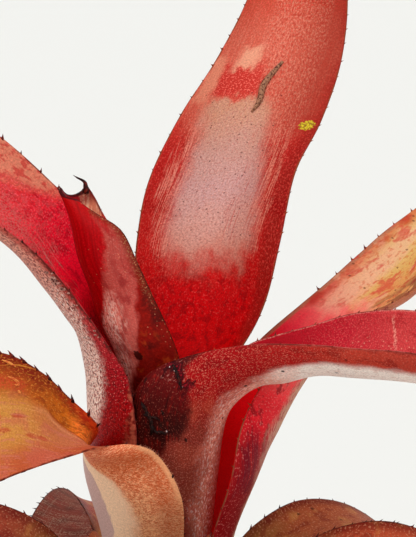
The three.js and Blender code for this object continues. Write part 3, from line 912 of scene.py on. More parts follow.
def heart_finish(f):
    """Dark red; a pinkish band of painted sheen down the middle of the near half, with painted highlights
    low in it; browner towards its margin.
    """
    red = f.lengthwise(
        (60, (84, 8, 6)), (80, (124, 2, 4)), (100, (158, 0, 6)), (118, (164, 0, 6)), (136, (176, 4, 6)),
    )
    red = f.lay(
        red,
        ((104, 0, 4), 0.42, f.step(f.streak, 0.48, 0.66), f.step(f.grain, 0.3, 0.55)),
        ((196, 10, 22), 0.5, f.step(f.streak, 0.5, 0.4), f.step(f.grain, 0.4, 0.6)),
    )
    brown = f.zone(
        0.1, (62, 0.34, 1.2), (74, 0.38, 1.2), (90, 0.6, 1.2), (100, 0.8, 1.2), (114, 0.94, 1.2),
        (126, 1.1, 1.3),
    )
    earth = f.over(
        rgb(132, 12, 4), (178, 66, 22), f.times(f.step(f.blotch, 0.52, 0.66), f.span(64, 68, 82, 94)),
        0.6,
    )
    earth = f.lay(
        earth,
        ((58, 6, 4), 0.7, f.step(f.mottle, 0.5, 0.64)),
        ((150, 22, 10), 0.5, f.flecks(0.9, 0.54, 0.1)),
        ((62, 4, 2), 0.35, f.step(f.soft_along, 84, 74)),
    )
    red = f.mix(red, earth, brown)
    # bloom: painted sheen, a pinkish band where the glossy face reflects the light
    bloom = f.times(
        f.zone(
            0.05, (62, -0.1, 0.3), (74, -0.02, 0.38), (86, 0.14, 0.58), (98, 0.34, 0.76),
            (112, 0.58, 0.98), (122, 0.72, 1.1),
        ),
        f.span(60, 68, 119, 127),
    )
    mauve = f.lengthwise(
        (62, (190, 92, 78)), (76, (194, 92, 80)), (88, (196, 88, 78)), (104, (180, 70, 62)),
        (124, (174, 74, 64)),
    )
    # foot: painted highlights at the low end of the sheen band
    foot = f.times(
        f.zone(0.08, (62, -0.3, 0.2), (78, -0.2, 0.34), (90, 0.0, 0.48), (104, 0.2, 0.5)),
        f.span(60, 66, 92, 104),
    )
    mauve = f.lay(
        mauve,
        ((206, 124, 110), 0.45, f.flecks(2.2, 0.57, 0.07)),
        ((150, 34, 30), 0.55, f.step(f.mottle, 0.46, 0.6), f.span(82, 92)),
        ((222, 128, 112), 0.8, foot),
        (
            (250, 206, 188), 0.85, foot, f.step(f.streak, 0.36, 0.52),
            f.flecks(1.6, 0.4, 0.1, (1.0, 0.4)),
        ),
        ((136, 26, 28), 0.55, f.step(f.blotch, 0.52, 0.64)),
        ((126, 18, 24), 0.35, f.step(f.streak, 0.5, 0.62), f.step(f.grain, 0.34, 0.56)),
    )
    colour = f.over(red, mauve, bloom, 0.9)
    low = f.times(
        f.zone(0.08, (62, -0.2, 0.3), (80, -0.1, 0.26), (96, 0.14, 0.4)), f.span(60, 66, 88, 100),
    )
    clot = f.step(f.math("MULTIPLY_ADD", f.grain, 2.0, third=f.oval(11.4, 79, 1.2, 1.9)), 2.3, 1.5)
    olive = f.times(f.step(f.edge, 3.4, 0.8), f.step(f.side, 0.5, 0.7), f.span(94, 102, 126, 131))
    inner = f.over(rgb(212, 122, 92), (240, 184, 148), f.step(f.streak, 0.44, 0.58), 0.8)
    inner = f.lay(
        inner,
        ((120, 12, 18), 0.8, f.step(f.edge, 1.0, 0.3), f.span(110, 120)),
        ((176, 6, 10), 1.0, f.step(f.side, -0.64, -0.56)),
        ((120, 10, 20), 0.8, f.step(f.along, 126, 130), f.step(f.grain, 0.3, 0.5)),
    )
    inner = f.over(rgb(196, 4, 8), inner, f.span(118, 124), 1.0)
    rim = f.step(f.along, 132.2, 133.2)
    colour = f.lay(
        colour,
        ((74, 38, 28), 0.8, f.flecks(1.7, 0.57, 0.05, (1.0, 0.6)), low),
        ((30, 4, 4), 0.85, clot),
        (f.over(rgb(116, 34, 18), (150, 96, 62), f.flecks(1.7, 0.55, 0.08)), 0.8, olive),
        ((216, 130, 96), 0.6, f.dots(2.9, 0.17, 0.4), f.span(76, 84, 112, 120)),
        ((210, 140, 96), 0.7, f.dots(1.6, 0.15, 0.5), f.step(f.side, 0.86, 0.95)),
        ((60, 2, 8), 0.95, rim),
    )
    inner = f.over(inner, (60, 2, 8), rim, 0.95)
    return f.done(inner, colour, margin=(64, 14, 10), margin_width=0.35, gloss=0.36, contrast=0.22)


def left_finish(f):
    """Crimson channel, peach towards the far margin; outside a pale scurfy keel, partly painted
    highlight, between red bands, and painted shade low on the right.
    """
    inner = f.lengthwise(
        (70, (170, 0, 14)), (96, (232, 4, 26)), (112, (255, 10, 48)), (128, (244, 22, 50)),
        (146, (210, 46, 48)), (190, (196, 62, 52)), (236, (172, 62, 44)),
    )
    cloud = f.noise(f.stretched(1.0, 0.6), 0.5, 3, 0.6)
    peach = f.zone(
        0.1, (122, -1.4, -1.15), (134, -1.4, -0.96), (142, -1.3, -0.8), (150, -1.3, -0.7),
        (160, -1.3, -0.62), (190, -1.3, -0.55),
    )
    peach_tint = f.over(rgb(216, 132, 104), (196, 78, 64), f.step(cloud, 0.48, 0.6))
    near = f.zone(
        0.16, (100, -0.2, 1.2), (112, -0.4, 1.2), (124, -0.5, 1.2), (140, -0.56, 1.2), (150, -0.6, 1.2),
    )
    thread = f.noise(f.stretched(1.0, 0.035), 1.6, 2, 0.6)
    scratch = f.times(
        f.step(thread, 0.55, 0.6), f.span(102, 108, 122, 130),
        f.zone(0.06, (96, -0.36, 0.9), (112, -0.5, 0.8), (130, -0.56, 0.6)),
    )
    inner = f.lay(
        inner,
        ((168, 0, 22), 0.55, f.step(f.blotch, 0.5, 0.62)),
        ((244, 92, 104), 0.6, f.flecks(1.9, 0.54, 0.07, (1.0, 0.7)), f.span(108, 122)),
        ((206, 66, 70), 0.6, f.step(cloud, 0.5, 0.62), f.span(118, 130)),
        ((188, 10, 32), 0.6, f.step(cloud, 0.48, 0.38), f.span(114, 124)),
        (peach_tint, 0.9, peach, f.span(126, 138)),
        ((200, 94, 88), 0.75, near, f.flecks(1.7, 0.44, 0.1, (1.0, 0.7))),
        ((232, 124, 120), 0.8, scratch),
    )
    outer = f.lengthwise(
        (50, (150, 0, 0)), (68, (156, 0, 0)), (80, (140, 0, 6)), (94, (158, 10, 24)),
        (106, (172, 40, 44)), (118, (176, 70, 60)), (134, (190, 84, 72)), (240, (160, 80, 58)),
    )
    # the keel: pale scurf, partly painted highlight
    keel = f.zone(
        0.1, (62, -0.95, -0.2), (68, -0.95, 0.26), (71, -0.95, 0.42), (75, -0.95, 0.5),
        (81, -0.95, 0.58), (94, -0.95, 0.68), (104, -0.95, 0.78), (116, -0.95, 0.86), (132, -0.95, 0.9),
    )
    pale = f.lengthwise(
        (66, (214, 140, 120)), (76, (236, 196, 178)), (96, (222, 174, 158)), (108, (214, 150, 134)),
        (122, (226, 150, 130)), (150, (230, 150, 124)),
    )
    pale = f.lay(
        pale,
        ((134, 42, 40), 0.85, f.flecks(1.3, 0.5, 0.06, (1.0, 0.6))),
        ((255, 236, 222), 0.8, f.flecks(1.7, 0.52, 0.1, (1.0, 0.7)), f.span(66, 76, 112, 126)),
        ((232, 176, 160), 0.5, f.flecks(1.9, 0.56, 0.08)),
        ((60, 32, 28), 0.9, f.flecks(1.1, 0.6, 0.04, (1.0, 0.8)), f.span(70, 84)),
    )
    ends = f.step(f.math("MULTIPLY_ADD", f.side, -10.0, third=f.along), 64, 68)
    strip = f.times(
        f.zone(0.05, (56, 0.86, 1.2), (86, 0.92, 1.2), (92, 1.0, 1.3)), f.span(56, 60, 82, 88),
        f.step(f.mottle, 0.42, 0.5),
    )
    crust = f.times(
        f.step(f.edge, 1.5, 0.5), f.step(f.side, 0.6, 0.8), f.span(96, 102, 130, 138),
        f.flecks(0.6, 0.4, 0.15),
    )
    outer = f.lay(
        outer,
        ((232, 120, 112), 0.75, f.dots(1.1, 0.17, 0.5), f.span(66, 86)),
        ((206, 76, 72), 0.5, f.flecks(2.0, 0.6, 0.05)),
        ((74, 0, 2), 0.6, f.flecks(1.1, 0.54, 0.06), f.span(56, 62)),
        # painted shade: darker low towards the right margin, where this part lies in shadow
        ((84, 0, 0), 0.5, f.step(f.soft_along, 76, 66), f.step(f.side, 0.5, 0.8)),
        (pale, 0.92, keel, ends),
        (f.over(rgb(164, 80, 58), (90, 24, 16), f.flecks(0.35, 0.46, 0.12)), 0.75, strip),
        ((72, 30, 24), 0.85, crust),
    )
    return f.done(inner, outer, margin=(96, 26, 22), margin_width=0.3, contrast=0.3, gloss=0.42)


def right_front_finish(f):
    """Dark red outside with pale dashes and a cream keel, partly painted highlight; painted shade and a
    painted shadow crease on the base; crimson channel.
    """
    outer = f.lengthwise(
        (44, (118, 48, 34)), (60, (124, 36, 26)), (70, (136, 24, 18)), (80, (156, 8, 12)),
        (92, (154, 8, 14)), (104, (176, 30, 28)), (124, (186, 58, 42)), (146, (180, 60, 46)),
        (200, (150, 50, 36)),
    )
    fine = f.step(f.noise(f.stretched(1.5, 0.8), 2.4, 1, 0.5), 0.62, 0.68)
    warm = f.times(
        f.zone(0.12, (50, -0.5, -0.14), (66, -0.42, -0.1), (96, -0.3, 0.0)), f.span(50, 60, 72, 82),
    )
    # the base in the tank: pinkish-brown speckle low down; its left part painted dark as shade, over dark
    # stains
    dull = f.times(
        f.zone(0.1, (44, -1.2, -0.2), (60, -1.2, -0.2), (72, -1.2, -0.3)), f.span(78, 60, 40, 38),
    )
    # painted shade: the left part of the base, in shadow between the leaves
    dark = f.zone(
        0.06, (44, -1.4, -0.9), (53, -1.4, -0.74), (60, -1.4, -0.56), (64, -1.4, -0.44),
        (69, -1.4, -0.34), (73, -1.4, -0.32), (76, -1.4, -0.4), (78, -1.4, -0.56), (80, -1.4, -0.7),
        (84, -1.5, -0.86), (92, -1.6, -1.2),
    )
    base = f.lengthwise(
        (48, (80, 8, 6)), (60, (62, 4, 3)), (68, (44, 3, 3)), (76, (90, 5, 6)), (86, (66, 5, 4)),
    )
    base = f.lay(
        base,
        ((30, 4, 4), 0.7, f.step(f.mottle, 0.46, 0.6), f.span(78, 70)),
        ((150, 26, 18), 0.5, f.step(f.streak, 0.5, 0.62), f.flecks(0.5, 0.46, 0.14)),
        ((24, 2, 2), 0.7, f.step(f.streak, 0.46, 0.38), f.step(f.blotch, 0.46, 0.58)),
        ((170, 92, 76), 0.45, f.flecks(2.2, 0.63, 0.05)),
    )
    # a crease across the base: its dark band is painted shadow in a split, the pale streaks beside it
    # painted highlights
    off = f.math(
        "ABSOLUTE", f.math("MULTIPLY_ADD", f.side, 9.0, third=f.math("SUBTRACT", f.soft_along, 72.4)),
    )
    reach = f.step(f.side, -0.46, -0.56)
    beside = f.times(f.line(off, 2.4, 0.5, 0.1), f.step(f.side, -0.6, -0.68))
    outer = f.lay(
        outer,
        ((116, 4, 8), 0.5, f.step(f.blotch, 0.5, 0.62)),
        ((206, 96, 80), 0.65, f.flecks(2.1, 0.57, 0.06, (1.2, 0.8)), f.span(46, 60)),
        ((226, 130, 106), 0.62, fine, f.span(60, 72, 116, 130)),
        ((190, 78, 54), 0.5, warm, f.step(f.mottle, 0.4, 0.6)),
        (f.over(rgb(122, 44, 32), (176, 100, 82), f.flecks(2.1, 0.55, 0.08)), 0.6, dull),
        # painted shade over dark stains
        (base, 0.95, dark),
        # painted shadow in the split
        ((52, 0, 6), 0.9, f.step(off, 2.0, 1.2), reach),
        ((160, 20, 34), 0.7, f.step(off, 0.9, 0.3), reach, f.step(f.grain, 0.4, 0.6)),
        # painted highlights beside the split
        ((190, 120, 110), 0.45, beside, f.flecks(1.3, 0.52, 0.08)),
    )
    # the keel: cream scurf, its near-white middle partly painted highlight
    keel_rows = [
        (44, -0.2, 1.3), (56, -0.13, 1.3), (66, -0.1, 1.3), (78, 0.0, 1.3), (86, 0.04, 1.3),
        (94, 0.02, 1.3), (106, -0.22, 1.3), (122, -0.44, 1.3), (140, -0.4, 1.3),
    ]
    keel = f.zone(0.16, *keel_rows)
    cream = f.lengthwise(
        (44, (200, 118, 98)), (66, (226, 138, 118)), (84, (230, 140, 122)), (94, (240, 180, 162)),
        (106, (255, 242, 232)), (140, (255, 244, 234)),
    )
    cream = f.lay(
        cream,
        ((168, 70, 60), 0.6, f.flecks(1.2, 0.5, 0.1, (1.0, 0.4)), f.span(98, 84)),
        ((204, 150, 130), 0.4, f.flecks(1.1, 0.56, 0.1, (1.0, 0.3))),
        ((248, 236, 226), 0.5, f.flecks(1.5, 0.54, 0.08, (1.0, 0.5))),
    )
    outer = f.mix(outer, cream, keel)
    spots = f.times(f.dots(9.0, 0.5, 0.35), f.span(50, 60, 110, 130))
    outer = f.lay(
        outer,
        ((40, 14, 12), 0.9, spots),
        ((150, 60, 50), 0.5, f.step(f.edge, 0.8, 0.3), f.span(96, 104)),
    )
    inner = f.lengthwise(
        (70, (160, 0, 18)), (96, (164, 0, 20)), (106, (174, 6, 28)), (118, (186, 26, 42)),
        (136, (200, 58, 60)), (200, (172, 62, 46)),
    )
    slant = f.math(
        "ABSOLUTE", f.math("MULTIPLY_ADD", f.blotch, 3.0, third=f.math("SUBTRACT", f.along, 137.5)),
    )
    inner = f.lay(
        inner,
        ((160, 0, 20), 0.5, f.step(f.blotch, 0.52, 0.64)),
        ((224, 96, 92), 0.5, f.flecks(2.0, 0.54, 0.08), f.span(102, 118)),
        ((226, 150, 128), 0.6, f.dots(1.9, 0.24, 0.5), f.span(112, 124), f.step(f.side, 0.84, 0.7)),
        (
            (236, 160, 140), 0.6, f.step(slant, 0.7, 0.2), f.step(f.side, 0.6, 0.7),
            f.step(f.side, 0.98, 0.9), f.step(f.grain, 0.4, 0.54),
        ),
        ((222, 140, 126), 0.7, f.step(f.edge, 0.6, 0.25), f.step(f.grain, 0.4, 0.54)),
    )
    return f.done(inner, outer, margin=(104, 30, 22), margin_width=0.2, contrast=0.28, gloss=0.42)


def right_back_finish(f):
    """Crimson at the base, through salmon, to ochre with red blotches; purple-brown towards the keel."""
    # painted light: the crimson near the base is brighter than the leaf's own red, where the base lies in
    # shade
    inner = f.lengthwise(
        (60, (255, 0, 10)), (86, (255, 0, 20)), (100, (232, 8, 40)), (106, (238, 50, 70)),
        (118, (236, 112, 102)), (128, (224, 142, 104)), (138, (222, 166, 112)), (150, (216, 172, 104)),
        (170, (206, 166, 88)), (214, (184, 124, 60)),
    )
    beige = f.zone(0.1, (110, 0.46, 0.84), (126, 0.46, 0.8), (150, 0.5, 0.8))
    ochre = f.zone(0.08, (118, 0.26, 0.44), (134, 0.26, 0.5), (160, 0.3, 0.6))
    dashes = f.times(
        f.zone(0.08, (124, -0.1, 0.3), (160, -0.1, 0.36)),
        f.step(f.noise(f.stretched(1.0, 0.22), 0.4, 3, 0.6), 0.5, 0.6),
    )
    margin_red = f.times(
        f.step(f.edge, 5.0, 1.6), f.step(f.side, 0.5, 0.7), f.step(f.mottle, 0.4, 0.56),
        f.span(106, 114),
    )
    patches = f.noise(f.stretched(1.0, 0.5), 0.2, 3, 0.6)
    low = f.times(f.step(f.side, 0.16, -0.05), f.span(118, 130))
    inner = f.lay(
        inner,
        ((204, 66, 52), 0.6, f.step(f.side, 0.76, 0.96), f.span(104, 118)),
        (
            (176, 112, 84), 0.85, f.step(f.edge, 1.8, 0.9), f.step(f.side, 0.5, 0.7),
            f.span(94, 102, 150, 160),
        ),
        ((208, 138, 70), 0.7, f.step(f.side, 0.5, 0.2), f.span(124, 134)),
        ((230, 176, 144), 0.6, beige, f.span(112, 122)),
        ((212, 172, 92), 0.65, ochre, f.span(118, 128), f.step(f.streak, 0.36, 0.54)),
        ((196, 56, 50), 0.75, dashes, f.span(122, 130)),
        ((182, 50, 36), 0.8, margin_red),
        ((200, 50, 48), 0.7, f.step(patches, 0.53, 0.63), f.span(112, 124)),
        ((230, 168, 132), 0.5, f.step(patches, 0.46, 0.36), f.span(116, 126, 146, 160)),
        ((200, 84, 40), 0.45, f.flecks(0.9, 0.56, 0.08, (1.0, 0.5)), f.span(118, 128)),
        ((116, 48, 40), 0.7, low, f.step(f.blotch, 0.42, 0.56)),
        ((104, 52, 34), 0.7, f.dots(7.0, 0.36, 0.5, (0.8, 1.0)), f.span(118, 126)),
    )
    outer = f.lengthwise(
        (50, (140, 14, 20)), (66, (166, 16, 22)), (76, (216, 22, 36)), (86, (244, 56, 64)),
        (98, (232, 96, 90)), (112, (202, 118, 98)), (150, (188, 108, 66)), (214, (158, 82, 48)),
    )
    purple = f.zone(0.09, (50, -0.9, -0.64), (66, -0.92, -0.6), (76, -0.9, -0.62), (96, -0.7, -0.5))
    keel = f.zone(0.1, (50, -0.56, 1.2), (72, -0.56, 1.2), (90, -0.4, 1.2), (120, -0.3, 1.2))
    green = f.times(f.zone(0.06, (50, -0.44, 1.2), (90, -0.3, 1.2)), f.step(f.streak, 0.48, 0.6))
    outer = f.lay(
        outer,
        ((112, 0, 10), 0.65, f.step(f.blotch, 0.53, 0.63)),
        ((232, 132, 126), 0.5, f.flecks(1.4, 0.6, 0.06)),
        ((96, 8, 30), 0.8, purple, f.span(50, 54, 64, 80), f.step(f.streak, 0.4, 0.56)),
        (f.over(rgb(196, 148, 124), (170, 76, 72), f.flecks(1.1, 0.5, 0.1, (1.0, 0.4))), 0.85, keel),
        ((200, 190, 140), 0.5, green),
    )
    return f.done(inner, outer, margin=(146, 78, 54), margin_width=0.25, contrast=0.14, gloss=0.44)


def left_front_finish(f):
    """Older leaf: maroon margins, orange into ochre, pinker below; an orange-brown, fibrous sheath."""
    # painted light: the orange from 84 to 92 mm is brighter than the leaf's own, where this end lies in
    # shade
    far = f.lengthwise(
        (84, (255, 140, 66)), (92, (250, 122, 44)), (98, (198, 98, 18)), (106, (180, 88, 20)),
        (118, (176, 78, 24)), (140, (168, 80, 34)),
    )
    far = f.lay(
        far,
        ((124, 22, 12), 0.8, f.step(f.edge, 9.0, 2.0), f.span(104, 116)),
        ((112, 20, 8), 0.7, f.step(f.edge, 5.0, 1.0)),
        ((132, 44, 12), 0.6, f.step(f.blotch, 0.5, 0.64)),
        ((104, 14, 10), 0.6, f.dots(3.2, 0.5, 0.5, (1.0, 0.6)), f.step(f.edge, 9.0, 4.0)),
        ((136, 60, 14), 0.5, f.flecks(1.2, 0.5, 0.12, (1.0, 0.3))),
        ((222, 138, 56), 0.45, f.flecks(2.2, 0.56, 0.08, (1.0, 0.4))),
        ((214, 52, 14), 0.7, f.step(f.edge, 4.0, 1.0), f.span(104, 92)),
        (
            (150, 14, 6), 0.5, f.flecks(0.9, 0.5, 0.08, (1.3, 0.5)), f.step(f.edge, 7.0, 2.0),
            f.span(112, 100),
        ),
    )
    near = f.lengthwise(
        (84, (194, 98, 62)), (98, (192, 106, 68)), (112, (190, 110, 54)), (124, (186, 120, 50)),
        (150, (180, 120, 50)),
    )
    near = f.lay(
        near,
        ((182, 76, 46), 0.85, f.step(f.side, 0.3, 0.85)),
        ((204, 140, 62), 0.55, f.zone(0.2, (100, -0.4, 0.4), (130, -0.5, 0.5)), f.span(106, 118)),
        ((190, 88, 72), 0.5, f.step(f.mottle, 0.5, 0.62)),
        ((176, 58, 38), 0.7, f.dots(7.0, 1.2, 0.45, (1.4, 0.6))),
        ((200, 112, 92), 0.5, f.step(f.streak, 0.5, 0.42), f.step(f.blotch, 0.44, 0.58)),
        ((214, 146, 92), 0.5, f.step(f.streak, 0.5, 0.64), f.step(f.grain, 0.4, 0.6)),
        ((160, 66, 40), 0.4, f.flecks(1.6, 0.6, 0.06)),
    )
    fold = f.profile(
        f.along,
        [
            (86, 0.3), (91, 0.14), (95, -0.06), (99, -0.14), (104, -0.18), (109, -0.28), (118, -0.3),
            (130, -0.36), (150, -0.36),
        ],
    )
    wavy = f.math(
        "SUBTRACT", f.math("MULTIPLY_ADD", f.math("SUBTRACT", f.mottle, 0.5), 0.1, third=f.side), fold,
    )
    softness = f.profile(f.along, [(90, 0.04), (108, 0.06), (118, 0.24), (150, 0.3)])
    inner = f.mix(far, near, f.step(f.math("DIVIDE", wavy, softness), -1.0, 1.0))
    crease = f.times(f.line(wavy, -0.03, 0.05, 0.01), f.span(88, 92, 104, 110))
    scars = f.times(
        f.step(f.streak, 0.58, 0.66), f.span(112, 116),
        f.zone(0.06, (100, -0.95, -0.5), (150, -0.95, -0.4)),
    )
    inner = f.lay(
        inner,
        ((140, 52, 20), 0.5, crease),
        ((222, 146, 96), 0.4, f.line(wavy, 0.1, 0.07, 0.01), f.span(88, 92, 104, 112)),
        (
            (186, 62, 34), 0.7, f.line(f.side, -0.52, 0.16, 0.06), f.span(116, 119),
            f.step(f.grain, 0.4, 0.54),
        ),
        ((216, 136, 48), 0.75, scars),
    )
    outer = f.lengthwise(
        (54, (236, 178, 128)), (64, (236, 146, 98)), (76, (228, 118, 70)), (86, (222, 124, 88)),
        (120, (180, 84, 50)),
    )
    wrinkle = f.noise(f.stretched(0.6, 1.5), 1.5, 2, 0.6, 1.6)
    outer = f.lay(
        outer,
        ((194, 68, 22), 0.7, f.step(wrinkle, 0.5, 0.55)),
        ((255, 206, 158), 0.7, f.step(wrinkle, 0.44, 0.38)),
        ((244, 186, 136), 0.7, f.dots(1.7, 0.24, 0.5, (0.6, 1.3))),
        (
            (250, 214, 178), 0.9,
            f.zone(0.1, (50, -1.2, 0.4), (65, -1.2, 0.2), (70, -1.2, -0.04), (76, -1.2, -0.38)),
        ),
        (
            (196, 160, 156), 0.9,
            f.zone(0.03, (50, -1.2, -0.04), (65, -1.2, -0.24), (68, -1.2, -0.46), (71, -1.2, -0.7)),
        ),
        ((160, 64, 30), 0.42, f.step(f.side, 0.6, 0.8), f.step(f.along, 78, 72)),
        ((222, 158, 112), 0.75, f.step(f.edge, 2.4, 1.0), f.span(54, 60, 78, 84)),
    )
    return f.done(
        inner, outer, margin=(96, 22, 14), margin_width=0.42, contrast=0.22, gloss=0.46, margin_from=90,
    )


def outer_leaf_finish(main, tip):
    """Old outer leaves: bronze to dull red, greener at the base, scarred and dry at the tip."""
    def finish(f):
        inner = f.lengthwise(
            (0, (196, 172, 120)), (30, (150, 120, 62)), (60, main), (110, main), (150, tip),
            (172, (120, 66, 34)),
        )
        inner = f.lay(
            inner,
            ((120, 26, 18), 0.55, f.step(f.blotch, 0.5, 0.64)),
            ((206, 140, 74), 0.5, f.step(f.mottle, 0.55, 0.68)),
            ((104, 20, 14), 0.7, f.step(f.edge, 5.0, 0.8)),
            ((70, 34, 22), 0.7, f.dots(8.0, 0.6, 0.35)),
            ((226, 160, 120), 0.35, f.flecks(1.3, 0.58, 0.07)),
        )
        return f.done(
            inner, f.back(tuple((int(c * 0.85) for c in main)), (190, 160, 132)), margin=(64, 20, 14),
        )
    return finish


LEAF_FINISHES = {
    "leaf_back_tall": (back_tall_finish, "leaf_red"),
    "leaf_heart": (heart_finish, "leaf_dark_red"),
    "leaf_left": (left_finish, "leaf_red"),
    "leaf_right_front": (right_front_finish, "leaf_red"),
    "leaf_right_back": (right_back_finish, "leaf_orange"),
    "leaf_left_front": (left_front_finish, "leaf_orange"),
    "leaf_outer_back": (outer_leaf_finish((168, 62, 42), (178, 96, 52)), "leaf_bronze"),
    "leaf_outer_right": (outer_leaf_finish((176, 74, 46), (186, 112, 58)), "leaf_bronze"),
    "leaf_outer_front": (outer_leaf_finish((184, 98, 50), (190, 124, 62)), "leaf_bronze"),
    "leaf_outer_left": (outer_leaf_finish((158, 66, 44), (172, 92, 50)), "leaf_bronze"),
    "leaf_outer_side": (outer_leaf_finish((172, 84, 48), (180, 110, 60)), "leaf_bronze"),
}


def object_finish(name):
    """A finish painted on object coordinates, in millimetres."""
    f = Finish(name)
    place = f.node("ShaderNodeTexCoord").outputs["Object"]
    f.place = f.scaled(place, (1 / MM, 1 / MM, 1 / MM))
    f.height = f.node("ShaderNodeSeparateXYZ", {0: f.place}).outputs[2]
    return f


def crusty_finish(name, first, second, grain, steps, relief, roughness, specular=0.5):
    """Two colours parted by a grain (scale, detail, roughness), which also raises the surface."""
    f = object_finish(name)
    crust = f.noise(f.place, *grain)
    return f.shade(
        Base_Color=f.mix(rgb(*first), rgb(*second), f.step(crust, *steps)), Roughness=roughness,
        Normal=f.bump(crust, *relief), Specular_IOR_Level=specular,
    )


def horn_finish(name, dark, light):
    return crusty_finish(name, dark, light, (0.9, 2), (0.4, 0.64), (0.0001, 0.4), 0.45, 0.12)


def scar_finish(name, light, dark):
    return crusty_finish(name, light, dark, (1.2, 3, 0.7), (0.46, 0.6), (0.0003, 0.8), 0.6, 0.15)


def clay_finish():
    """Fired clay: sandy, a little blotched, with a chalky bloom under the rim and darker blotches low
    down.
    """
    f = object_finish("fired_clay")
    cloud = f.noise(f.place, 0.035, 4, 0.6)
    sand = f.noise(f.place, 1.4, 3, 0.7)
    colour = f.mix(rgb(168, 88, 60), rgb(196, 118, 84), f.step(cloud, 0.36, 0.64))
    colour = f.mix(colour, rgb(142, 70, 48), f.math("MULTIPLY", f.step(sand, 0.54, 0.66), 0.5))
    bloom = f.noise(f.place, 0.09, 4, 0.65)
    band = f.profile(
        f.height, [(0, 0.5), (14, 0.25), (60, 0.1), (86, 0.75), (90, 0.2), (104, 0.25), (110, 0.8)])
    chalk = f.times(f.step(bloom, 0.5, 0.64), band, f.step(sand, 0.36, 0.56))
    colour = f.mix(colour, rgb(226, 206, 188), f.math("MULTIPLY", chalk, 0.75))
    # darker in blotches towards the bottom
    darker_low = f.times(f.step(f.height, 22, 4), f.step(cloud, 0.62, 0.42))
    colour = f.mix(colour, rgb(112, 58, 42), f.math("MULTIPLY", darker_low, 0.55))
    turning = f.noise(f.scaled(f.place, (0.012, 0.012, 0.7)), 1.0, 2)
    relief = f.math("MULTIPLY_ADD", turning, 1.4, third=f.math("MULTIPLY", sand, 0.6))
    return f.shade(
        Base_Color=colour, Roughness=0.88, Normal=f.bump(relief, 0.0005, 0.7), Specular_IOR_Level=0.3)


def bark_finish():
    f = object_finish("bark_chips")
    fibre = f.noise(f.place, 0.9, 4, 0.7)
    colour = f.ramp(f.attribute("tone"), [
        (0.0, rgb(44, 28, 20)), (0.4, rgb(82, 52, 34)),
        (0.75, rgb(118, 78, 50)), (1.0, rgb(150, 108, 74)),
    ])
    colour = f.mix(colour, rgb(38, 24, 18), f.math("MULTIPLY", f.step(fibre, 0.48, 0.62), 0.7))
    return f.shade(
        Base_Color=colour, Roughness=0.9, Normal=f.bump(fibre, 0.0006, 0.8), Specular_IOR_Level=0.25)


def stem_finish():
    """Woody stem with old leaf scars and fibres."""
    f = object_finish("woody_stem")
    fibre = f.noise(f.scaled(f.place, (1, 1, 0.12)), 0.9, 4, 0.7)
    rings = f.noise(f.scaled(f.place, (0.08, 0.08, 1)), 0.5, 2)
    colour = f.mix(rgb(92, 62, 36), rgb(164, 124, 76), f.step(fibre, 0.42, 0.62))
    colour = f.mix(colour, rgb(54, 36, 24), f.math("MULTIPLY", f.step(rings, 0.54, 0.62), 0.8))
    relief = f.math("ADD", fibre, rings)
    return f.shade(
        Base_Color=colour, Roughness=0.85, Normal=f.bump(relief, 0.0008, 0.8), Specular_IOR_Level=0.25)


def hair_finish():
    f = object_finish("sheath_fibre")
    tint = f.mix(rgb(226, 160, 130), rgb(190, 110, 80), f.noise(f.place, 0.6, 2))
    return f.shade(Base_Color=tint, Roughness=0.6, Specular_IOR_Level=0.1)


# pale drops: painted highlights, small glints on the base
def drop_glint_finish():
    f = object_finish("water_drop_glint")
    tint = f.mix(rgb(206, 186, 182), rgb(120, 70, 66), f.step(f.noise(f.place, 1.4, 1), 0.4, 0.6))
    return f.shade(Base_Color=tint, Roughness=0.08, Specular_IOR_Level=0.8)


HORN = horn_finish("dark_horn", (34, 6, 6), (104, 28, 18))
RED_HORN = horn_finish("red_horn", (96, 22, 12), (156, 70, 40))
BRIGHT_LEAVES = ("leaf_back_tall", "leaf_right_front", "leaf_right_back")
for seed, (leaf_name, (paint, slot_name)) in enumerate(LEAF_FINISHES.items()):
    sheet, spines = leaves[leaf_name]
    sheet.data.materials.append(paint(LeafFinish(leaf_name + "_skin", seed)))
    spines.data.materials.append(RED_HORN if leaf_name in BRIGHT_LEAVES else HORN)
    for hook in extras.get(leaf_name, []):
        hook.data.materials.append(HORN)
    piece = join([sheet, spines] + extras.get(leaf_name, []), leaf_name + "_fine")
    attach(piece, "root")
    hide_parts(leaf_name)


def dress(piece, material, node_name=None):
    piece.data.materials.clear()
    piece.data.materials.append(material)
    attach(piece, "root")
    if node_name:
        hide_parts(node_name)


# ---- pot, mix and stem ------------------------------------------------------------------------

POT_SIDES, MIX_SIDES, STEM_SIDES = 96, 72, 32
POT_FOOT, POT_TOP, POT_HEIGHT = 41, 56.5, 110  # radii of its straight wall, and its height
HOLE_RADIUS, HOLE_RING = 4.5, 20
MIX_RADIUS, MIX_TOP, MIX_FALL = 48.5, 99.3, 0.03
FINER_WITHIN = 24  # smaller chips near the stem
GOLDEN_ANGLE = 2.39996


